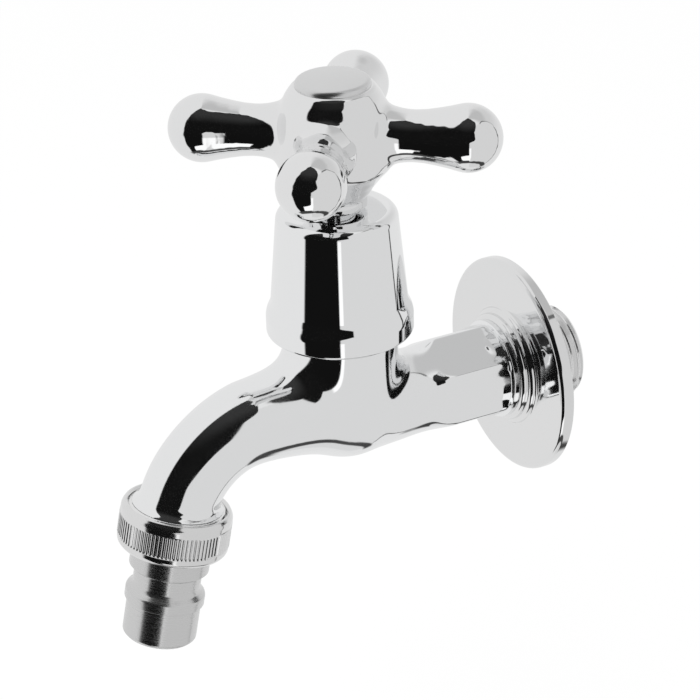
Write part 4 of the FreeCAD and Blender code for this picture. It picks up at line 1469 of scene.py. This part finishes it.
@dataclass
class UnionNut:
    """The knurled nut that holds the hose nozzle."""

    layout: Layout
    height: float = 9.6
    radius: float = 12.05
    lip: float = 11.3
    foot: float = 11.7
    band_top: float = 2.6
    band_foot: float = 7.6
    floor: float = 2.1
    mouth: float = 10.55
    throat: float = 8.95
    grooves: int = 84
    groove_depth: float = 0.34
    crest_round: float = 0.18
    groove_run: float = 0.3
    relief: float = 0.08
    columns: int = 4

    def in_groove(self, co: Vector, columns: tuple[int, ...]) -> bool:
        """Tell whether a point of the knurled band lies in some columns of a groove.

        Args:
            co: The point.
            columns: Numbers of the columns, counted from the middle of each groove.

        Returns:
            Whether it does.
        """
        step = math.tau / (self.grooves * self.columns)
        on_band = abs(math.hypot(co.x, co.y) - self.radius) < RING_TOLERANCE
        low = self.band_top + self.groove_run - RING_TOLERANCE
        high = self.band_foot - self.groove_run + RING_TOLERANCE
        column = round(math.atan2(co.y, co.x) / step) % self.columns
        return on_band and low < co.z < high and column in columns

    def knurl(self, piece: bpy.types.Object) -> None:
        """Press the grooves in, with a rounded crest between them.

        Args:
            piece: The turned nut, in edit mode.
        """
        rounded = self.groove_depth * self.crest_round
        for columns, depth in (((0,), self.groove_depth), ((1, 3), rounded)):
            bpy.ops.mesh.select_mode(type="VERT")
            select_points(piece, lambda co: self.in_groove(co, columns))
            scale = (self.radius - depth) / self.radius
            bpy.ops.transform.resize(value=(scale, scale, 1), center_override=(0, 0, 0))

    def build(self) -> bpy.types.Object:
        """Turn the nut and knurl its band.

        Returns:
            The piece, dressed and hung on the nut's body.
        """
        radius, run, low, high = self.radius, self.groove_run, self.band_top, self.band_foot
        plain, mouth, foot = radius - self.relief, self.mouth, self.foot
        inner_floor = self.height - self.floor
        lathe = Lathe("union_nut_skin", self.grooves * self.columns, (mouth, 0.35))
        lathe.draw((mouth + 0.35, 0.0), (self.lip, 0.0), (plain, 1.1), (plain, low - 0.12),
                   (radius, low), (radius, low + run), (radius, high - run), (radius, high),
                   (plain, high + 0.12), (foot + 0.2, self.height - 0.7),
                   (foot - 0.4, self.height), (self.throat, self.height),
                   (self.throat, inner_floor), (mouth, inner_floor), (mouth, 0.35))
        self.knurl(lathe.close().piece)
        lathe.soften((self.lip, 0.0, 0.25), (plain, 1.1, 0.5), steps=5)
        lathe.soften((foot + 0.2, self.height - 0.7, 0.35), (foot - 0.4, self.height, 0.2), steps=4)
        piece = lathe.done()
        place(piece, self.layout.on_outlet())
        shade(piece, 28.0)
        finish = TurnedChrome("nut_chrome", tuple(self.layout.outlet * MILLIMETRE),
                              tuple(self.layout.outlet_axis), roughness=0.10, marked=0.06,
                              colour=(0.80, 0.80, 0.80, 1.0)).material()
        hand_over(piece, finish, Body.NUT, Slot.TURNED, "union_nut")
        return piece


@dataclass
class HoseNozzle:
    """The turned nozzle that a hose is pushed on."""

    layout: Layout
    top: float = 5.9
    flange_foot: float = 7.46
    bore: float = 5.6
    flange: float = 9.9
    stub: float = 8.6
    stub_end: float = 14.7
    neck: float = 7.3
    neck_end: float = 18.8
    collar: float = 8.6
    collar_start: float = 20.0
    collar_end: float = 22.4
    hose_end: float = 8.0
    end: float = 30.9
    chamfer: float = 0.6

    def build(self) -> bpy.types.Object:
        """Turn the nozzle.

        Returns:
            The piece, dressed and hung on the nozzle's body.
        """
        bore, flange, stub, neck = self.bore, self.flange, self.stub, self.neck
        collar, start, stop = self.collar, self.collar_start, self.collar_end
        hose, end, chamfer = self.hose_end, self.end, self.chamfer
        lathe = Lathe("hose_nozzle_skin", 160, (bore, self.top))
        lathe.draw((flange, self.top), (flange, self.flange_foot), (stub, self.flange_foot),
                   (stub, self.stub_end - 0.4), (stub - 0.4, self.stub_end), (neck, self.stub_end),
                   (neck, self.neck_end), (collar - 0.15, start - 0.1), (collar, start + 0.3),
                   (collar, stop - 0.2), (collar - 0.25, stop), (hose, stop),
                   (hose, end - chamfer), (hose - chamfer, end), (bore + 0.3, end),
                   (bore, end - 0.3), (bore, self.top))
        lathe.close()
        lathe.soften((neck, self.stub_end, 0.2), (neck, self.neck_end, 0.6), steps=5)
        lathe.soften((collar, start + 0.3, 0.15), (hose, end - chamfer, 0.25), steps=3)
        piece = lathe.done()
        place(piece, self.layout.on_outlet())
        shade(piece, 75.0)
        finish = TurnedChrome("nozzle_chrome", tuple(self.layout.outlet * MILLIMETRE),
                              tuple(self.layout.outlet_axis), roughness=0.18, marked=0.12,
                              colour=(0.68, 0.68, 0.68, 1.0)).material()
        hand_over(piece, finish, Body.NOZZLE, Slot.TURNED, "hose_nozzle")
        return piece


PLATED_PARTS = ("spindle", "gland_nut")


def dress_inner_parts(shown: set[str]) -> None:
    """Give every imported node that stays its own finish.

    Args:
        shown: Names of the nodes that new pieces stand for.
    """
    built: dict[str, bpy.types.Material] = {}
    for name, node in frame["nodes"].items():
        if name in shown:
            continue
        for index, old in enumerate(node.data.materials):
            key = Slot.TURNED.value if name in PLATED_PARTS else old.name.split(".")[0]
            if key not in built:
                built[key] = INNER_FINISHES.get(key, INNER_FINISHES["brass"]).material()
            node.data.materials[index] = built[key]
        log.info("%s: packed solid, finish %s", name, node.data.materials[0].name)


# ---------------------------------------------------------------- studio

WHITE: Colour = (1.0, 1.0, 1.0, 1.0)


@dataclass(frozen=True)
class Levels:
    """How bright the things are that the chrome mirrors."""

    walls: float = 0.835
    walls_beside: float = 0.815
    walls_beside_high: float = 0.685
    ceiling_beside: float = 0.565
    card: float = 0.735
    card_edge: float = 0.16
    seam: float = 0.05
    opening: float = 0.006
    opening_high: float = 0.036
    strip: float = 1.14
    ring: float = 0.06


@dataclass
class Surroundings:
    """What the chrome mirrors, painted by direction.

    A direction is given in degrees: around from the camera, to its right, and up from level. A span
    says where a thing starts, is full, starts to fade and is gone. An edge that slants says between
    which heights it does, and where it stands below and above them.
    """

    wiring: Wiring
    azimuth: float
    opening_left: Span = (-30.0, -10.0, -57.0, -62.0)
    opening_right: Span = (2.0, 16.0, 0.0, 21.0)
    opening_shoulder: Span = (38.0, 66.0, 0.0, 32.0)
    opening_foot: Rise = (-66.0, -62.0)
    opening_depth: Rise = (35.0, 70.0)
    card_span: Span = (-1.0, 1.0, 109.0, 111.0)
    card_middle: float = 55.0
    card_half: float = 57.0
    card_height: float = 56.0
    card_top: Rise = (1.5, -1.5)
    edge_span: Span = (62.0, 75.0, 109.0, 111.0)
    edge_height: Span = (-3.5, -2.0, 0.0, 1.5)
    seam_span: Span = (106.5, 108.0, 109.5, 111.0)
    seam_height: Span = (-64.0, -60.0, 5.0, 25.0)
    strip_left: Span = (-44.0, -37.0, -30.0, 0.0)
    strip_right: Rise = (7.0, 5.0)
    strip_height: Span = (-60.0, -57.0, -16.0, -10.0)
    ring_span: Span = (-80.0, -60.0, 115.0, 135.0)
    ring_height: Span = (-71.0, -68.5, -62.0, -59.5)
    beside_span: Span = (60.0, 100.0, 145.0, 180.0)
    beside_height: Rise = (-10.0, 35.0)
    ceiling_span: Span = (60.0, 95.0, 145.0, 180.0)
    ceiling_height: Rise = (38.0, 52.0)
    around: bpy.types.NodeSocket = field(init=False)
    up: bpy.types.NodeSocket = field(init=False)

    def __post_init__(self) -> None:
        """Work out the direction of each mirrored ray."""
        wiring = self.wiring
        way = wiring.add("ShaderNodeTexCoord").outputs["Generated"]
        inputs = {"Vector": way, "Angle": -math.radians(self.azimuth)}
        turn = wiring.add("ShaderNodeVectorRotate", inputs, rotation_type="Z_AXIS")
        side, ahead, height = wiring.add("ShaderNodeSeparateXYZ", {0: turn.outputs[0]}).outputs
        angle = wiring.math("ARCTAN2", side, wiring.math("MULTIPLY", ahead, -1.0))
        self.around = wiring.math("MULTIPLY", angle, math.degrees(1))
        self.up = wiring.math("MULTIPLY", wiring.math("ARCSINE", height), math.degrees(1))

    def opening(self) -> bpy.types.NodeSocket:
        """Mask the dark opening on the left, which widens upwards.

        Returns:
            The mask.
        """
        rise, sum_up = self.wiring.rise, self.wiring.math
        left = rise(self.up, *self.opening_left, smooth=False)
        shoulder = rise(self.up, *self.opening_shoulder, smooth=False)
        right = sum_up("ADD", rise(self.up, *self.opening_right), shoulder)
        return self.wiring.both(rise(sum_up("SUBTRACT", self.around, left), -2.0, 2.0),
                                rise(sum_up("SUBTRACT", self.around, right), 1.0, -1.0),
                                rise(self.up, *self.opening_foot))

    def above_card(self) -> bpy.types.NodeSocket:
        """Measure how far a direction is above the arched top of the grey card.

        Returns:
            The angle, which is negative on the card.
        """
        sum_up = self.wiring.math
        share = sum_up("DIVIDE", sum_up("SUBTRACT", self.around, self.card_middle), self.card_half)
        side = sum_up("POWER", sum_up("ABSOLUTE", share), 4.0)
        arch = sum_up("SQRT", sum_up("MAXIMUM", sum_up("SUBTRACT", 1.0, side), 0.0))
        return sum_up("SUBTRACT", self.up, sum_up("MULTIPLY", arch, self.card_height))

    def seam(self) -> bpy.types.NodeSocket:
        """Mask the dark upright seam at the right edge of the card."""
        return self.wiring.both(self.wiring.within(self.around, *self.seam_span),
                                self.wiring.within(self.up, *self.seam_height))

    def strip(self) -> bpy.types.NodeSocket:
        """Mask the bright strip low in front, slanting at its left end.

        Returns:
            The mask.
        """
        left = self.wiring.rise(self.up, *self.strip_left)
        past_left = self.wiring.math("SUBTRACT", self.around, left)
        return self.wiring.both(self.wiring.rise(past_left, -1.2, 1.2),
                                self.wiring.rise(self.around, *self.strip_right),
                                self.wiring.within(self.up, *self.strip_height))

    def ring(self) -> bpy.types.NodeSocket:
        """Mask the dark ring on the floor round the tap's foot."""
        return self.wiring.both(self.wiring.within(self.up, *self.ring_height),
                                self.wiring.within(self.around, *self.ring_span))

    def walls(self, levels: Levels) -> bpy.types.NodeSocket:
        """Paint the walls, which are darker on the right and high up.

        Args:
            levels: How bright each thing is.

        Returns:
            The level of the walls.
        """
        blend, within, rise = self.wiring.blend, self.wiring.within, self.wiring.rise
        high = rise(self.up, *self.beside_height)
        beside = blend(levels.walls_beside, levels.walls_beside_high, high)
        room = blend(levels.walls, beside, within(self.around, *self.beside_span))
        over = self.wiring.both(within(self.around, *self.ceiling_span),
                                rise(self.up, *self.ceiling_height))
        return blend(room, levels.ceiling_beside, over)

    def level(self, levels: Levels) -> bpy.types.NodeSocket:
        """Lay all things over the walls.

        Args:
            levels: How bright each thing is.

        Returns:
            How bright each direction is.
        """
        wiring, over = self.wiring, self.above_card()
        card = wiring.both(wiring.within(self.around, *self.card_span),
                           wiring.rise(over, *self.card_top))
        edge = wiring.both(wiring.within(over, *self.edge_height),
                           wiring.within(self.around, *self.edge_span))
        depth = wiring.rise(self.up, *self.opening_depth, levels.opening, levels.opening_high)
        level = self.walls(levels)
        layers = (
            (levels.card, card), (levels.card_edge, edge), (levels.seam, self.seam()),
            (depth, self.opening()), (levels.strip, self.strip()), (levels.ring, self.ring()),
        )
        for above, mask in layers:
            level = wiring.blend(level, above, mask)
        return level


@dataclass
class Studio:
    """The pale floor, the soft light, what the chrome mirrors, and the camera."""

    azimuth: float = 62.627
    elevation: float = 26.979
    roll: float = -1.665
    lens: float = 141.94
    sensor: float = 36.0
    distance: float = 0.59555
    aim: Vector = field(default_factory=lambda: Vector((-0.00422, -0.03934, 0.01129)))
    floor_size: float = 6.0
    floor_height: float = -0.14
    floor_paint: Colour = (0.9, 0.9, 0.9, 1.0)
    floor_glow: float = 0.92
    lamp_place: tuple[float, float, float] = (0.5, -0.7, 1.1)
    lamp_size: float = 0.9
    lamp_energy: float = 17.0
    soft_light: float = 0.75
    levels: Levels = field(default_factory=Levels)

    def camera(self) -> None:
        """Set the camera up at the viewing angle."""
        put_down()
        around, up = math.radians(self.azimuth), math.radians(self.elevation)
        away = math.cos(up)
        back = Vector((math.sin(around) * away, -math.cos(around) * away, math.sin(up)))
        bpy.ops.object.camera_add(location=self.aim + back * self.distance)
        camera = bpy.context.active_object
        camera.name = "studio_camera"
        level = (-back).to_track_quat("-Z", "Y").to_matrix()
        turn = level @ Matrix.Rotation(math.radians(self.roll), 3, "Z")
        camera.rotation_mode = "QUATERNION"
        camera.rotation_quaternion = turn.to_quaternion()
        camera.data.lens, camera.data.sensor_width = self.lens, self.sensor
        camera.data.clip_start, camera.data.clip_end = 0.01, 20.0
        bpy.context.scene.camera = camera

    def floor(self) -> None:
        """Lay the pale floor, which the chrome does not mirror."""
        put_down()
        bpy.ops.mesh.primitive_plane_add(size=self.floor_size, location=(0, 0, self.floor_height))
        floor = bpy.context.active_object
        floor.name = "studio_floor"
        material, wiring = new_material("studio_floor")
        paint = wiring.add("ShaderNodeBsdfDiffuse", {"Color": self.floor_paint})
        glow = wiring.add("ShaderNodeEmission", {"Color": WHITE, "Strength": 1.0})
        seen = wiring.add("ShaderNodeLightPath").outputs["Is Camera Ray"]
        share = wiring.math("MULTIPLY", seen, self.floor_glow)
        mix = wiring.add("ShaderNodeMixShader", {0: share, 1: paint.outputs[0], 2: glow.outputs[0]})
        wiring.add("ShaderNodeOutputMaterial", {"Surface": mix.outputs[0]})
        floor.data.materials.append(material)
        floor.visible_glossy = False
        floor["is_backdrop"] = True

    def lamp(self) -> None:
        """Hang one large soft lamp over the tap."""
        put_down()
        bpy.ops.object.light_add(type="AREA", location=self.lamp_place)
        lamp = bpy.context.active_object
        lamp.name = "soft_lamp"
        lamp.data.shape = "DISK"
        lamp.data.size = self.lamp_size
        lamp.data.energy = self.lamp_energy
        lamp.rotation_mode = "QUATERNION"
        lamp.rotation_quaternion = (self.aim - lamp.location).to_track_quat("-Z", "Y")
        lamp.visible_glossy = False

    def surroundings(self) -> None:
        """Paint the world: one for the chrome's mirrored rays, soft light, and a white backdrop."""
        world = bpy.data.worlds.new("studio")
        bpy.context.scene.world = world
        world.use_nodes = True
        wiring = Wiring(world.node_tree)
        level = Surroundings(wiring, self.azimuth).level(self.levels)
        mirrored, soft, white = (
            wiring.add("ShaderNodeBackground", {"Color": WHITE, "Strength": strength}).outputs[0]
            for strength in (level, self.soft_light, 1.0)
        )
        rays = wiring.add("ShaderNodeLightPath").outputs
        mirror = wiring.math("MAXIMUM", rays["Is Glossy Ray"], rays["Is Transmission Ray"])
        unseen = wiring.add("ShaderNodeMixShader", {0: mirror, 1: soft, 2: mirrored})
        whole = wiring.add("ShaderNodeMixShader",
                           {0: rays["Is Camera Ray"], 1: unseen.outputs[0], 2: white})
        wiring.add("ShaderNodeOutputWorld", {"Surface": whole.outputs[0]})

    def build(self) -> None:
        """Set up the whole studio."""
        self.floor()
        self.lamp()
        self.surroundings()
        self.camera()
        bpy.context.scene.view_settings.view_transform = "Standard"


def corners() -> list[list[float]]:
    """Measure the part's bounding box.

    Returns:
        Its lowest and its highest corner, in metres.
    """
    low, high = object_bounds()
    return [[round(value, 6) for value in low], [round(value, 6) for value in high]]


def main() -> None:
    """Build every sub-assembly in order, then the studio."""
    logging.basicConfig(level=logging.INFO, format="%(message)s", stream=sys.stdout)
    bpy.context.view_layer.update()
    put_down()
    layout = Layout.read()
    for assembly in (CastBody, Shroud, Rosette, CrossHandle, UnionNut, HoseNozzle):
        assembly(layout).build()
    dress_inner_parts({"body", "bonnet_shroud", "wall_flange", "cross_handle", "handle_cap",
                       "union_nut", "hose_nozzle"})
    Studio().build()


if __name__ == "__main__":
    main()
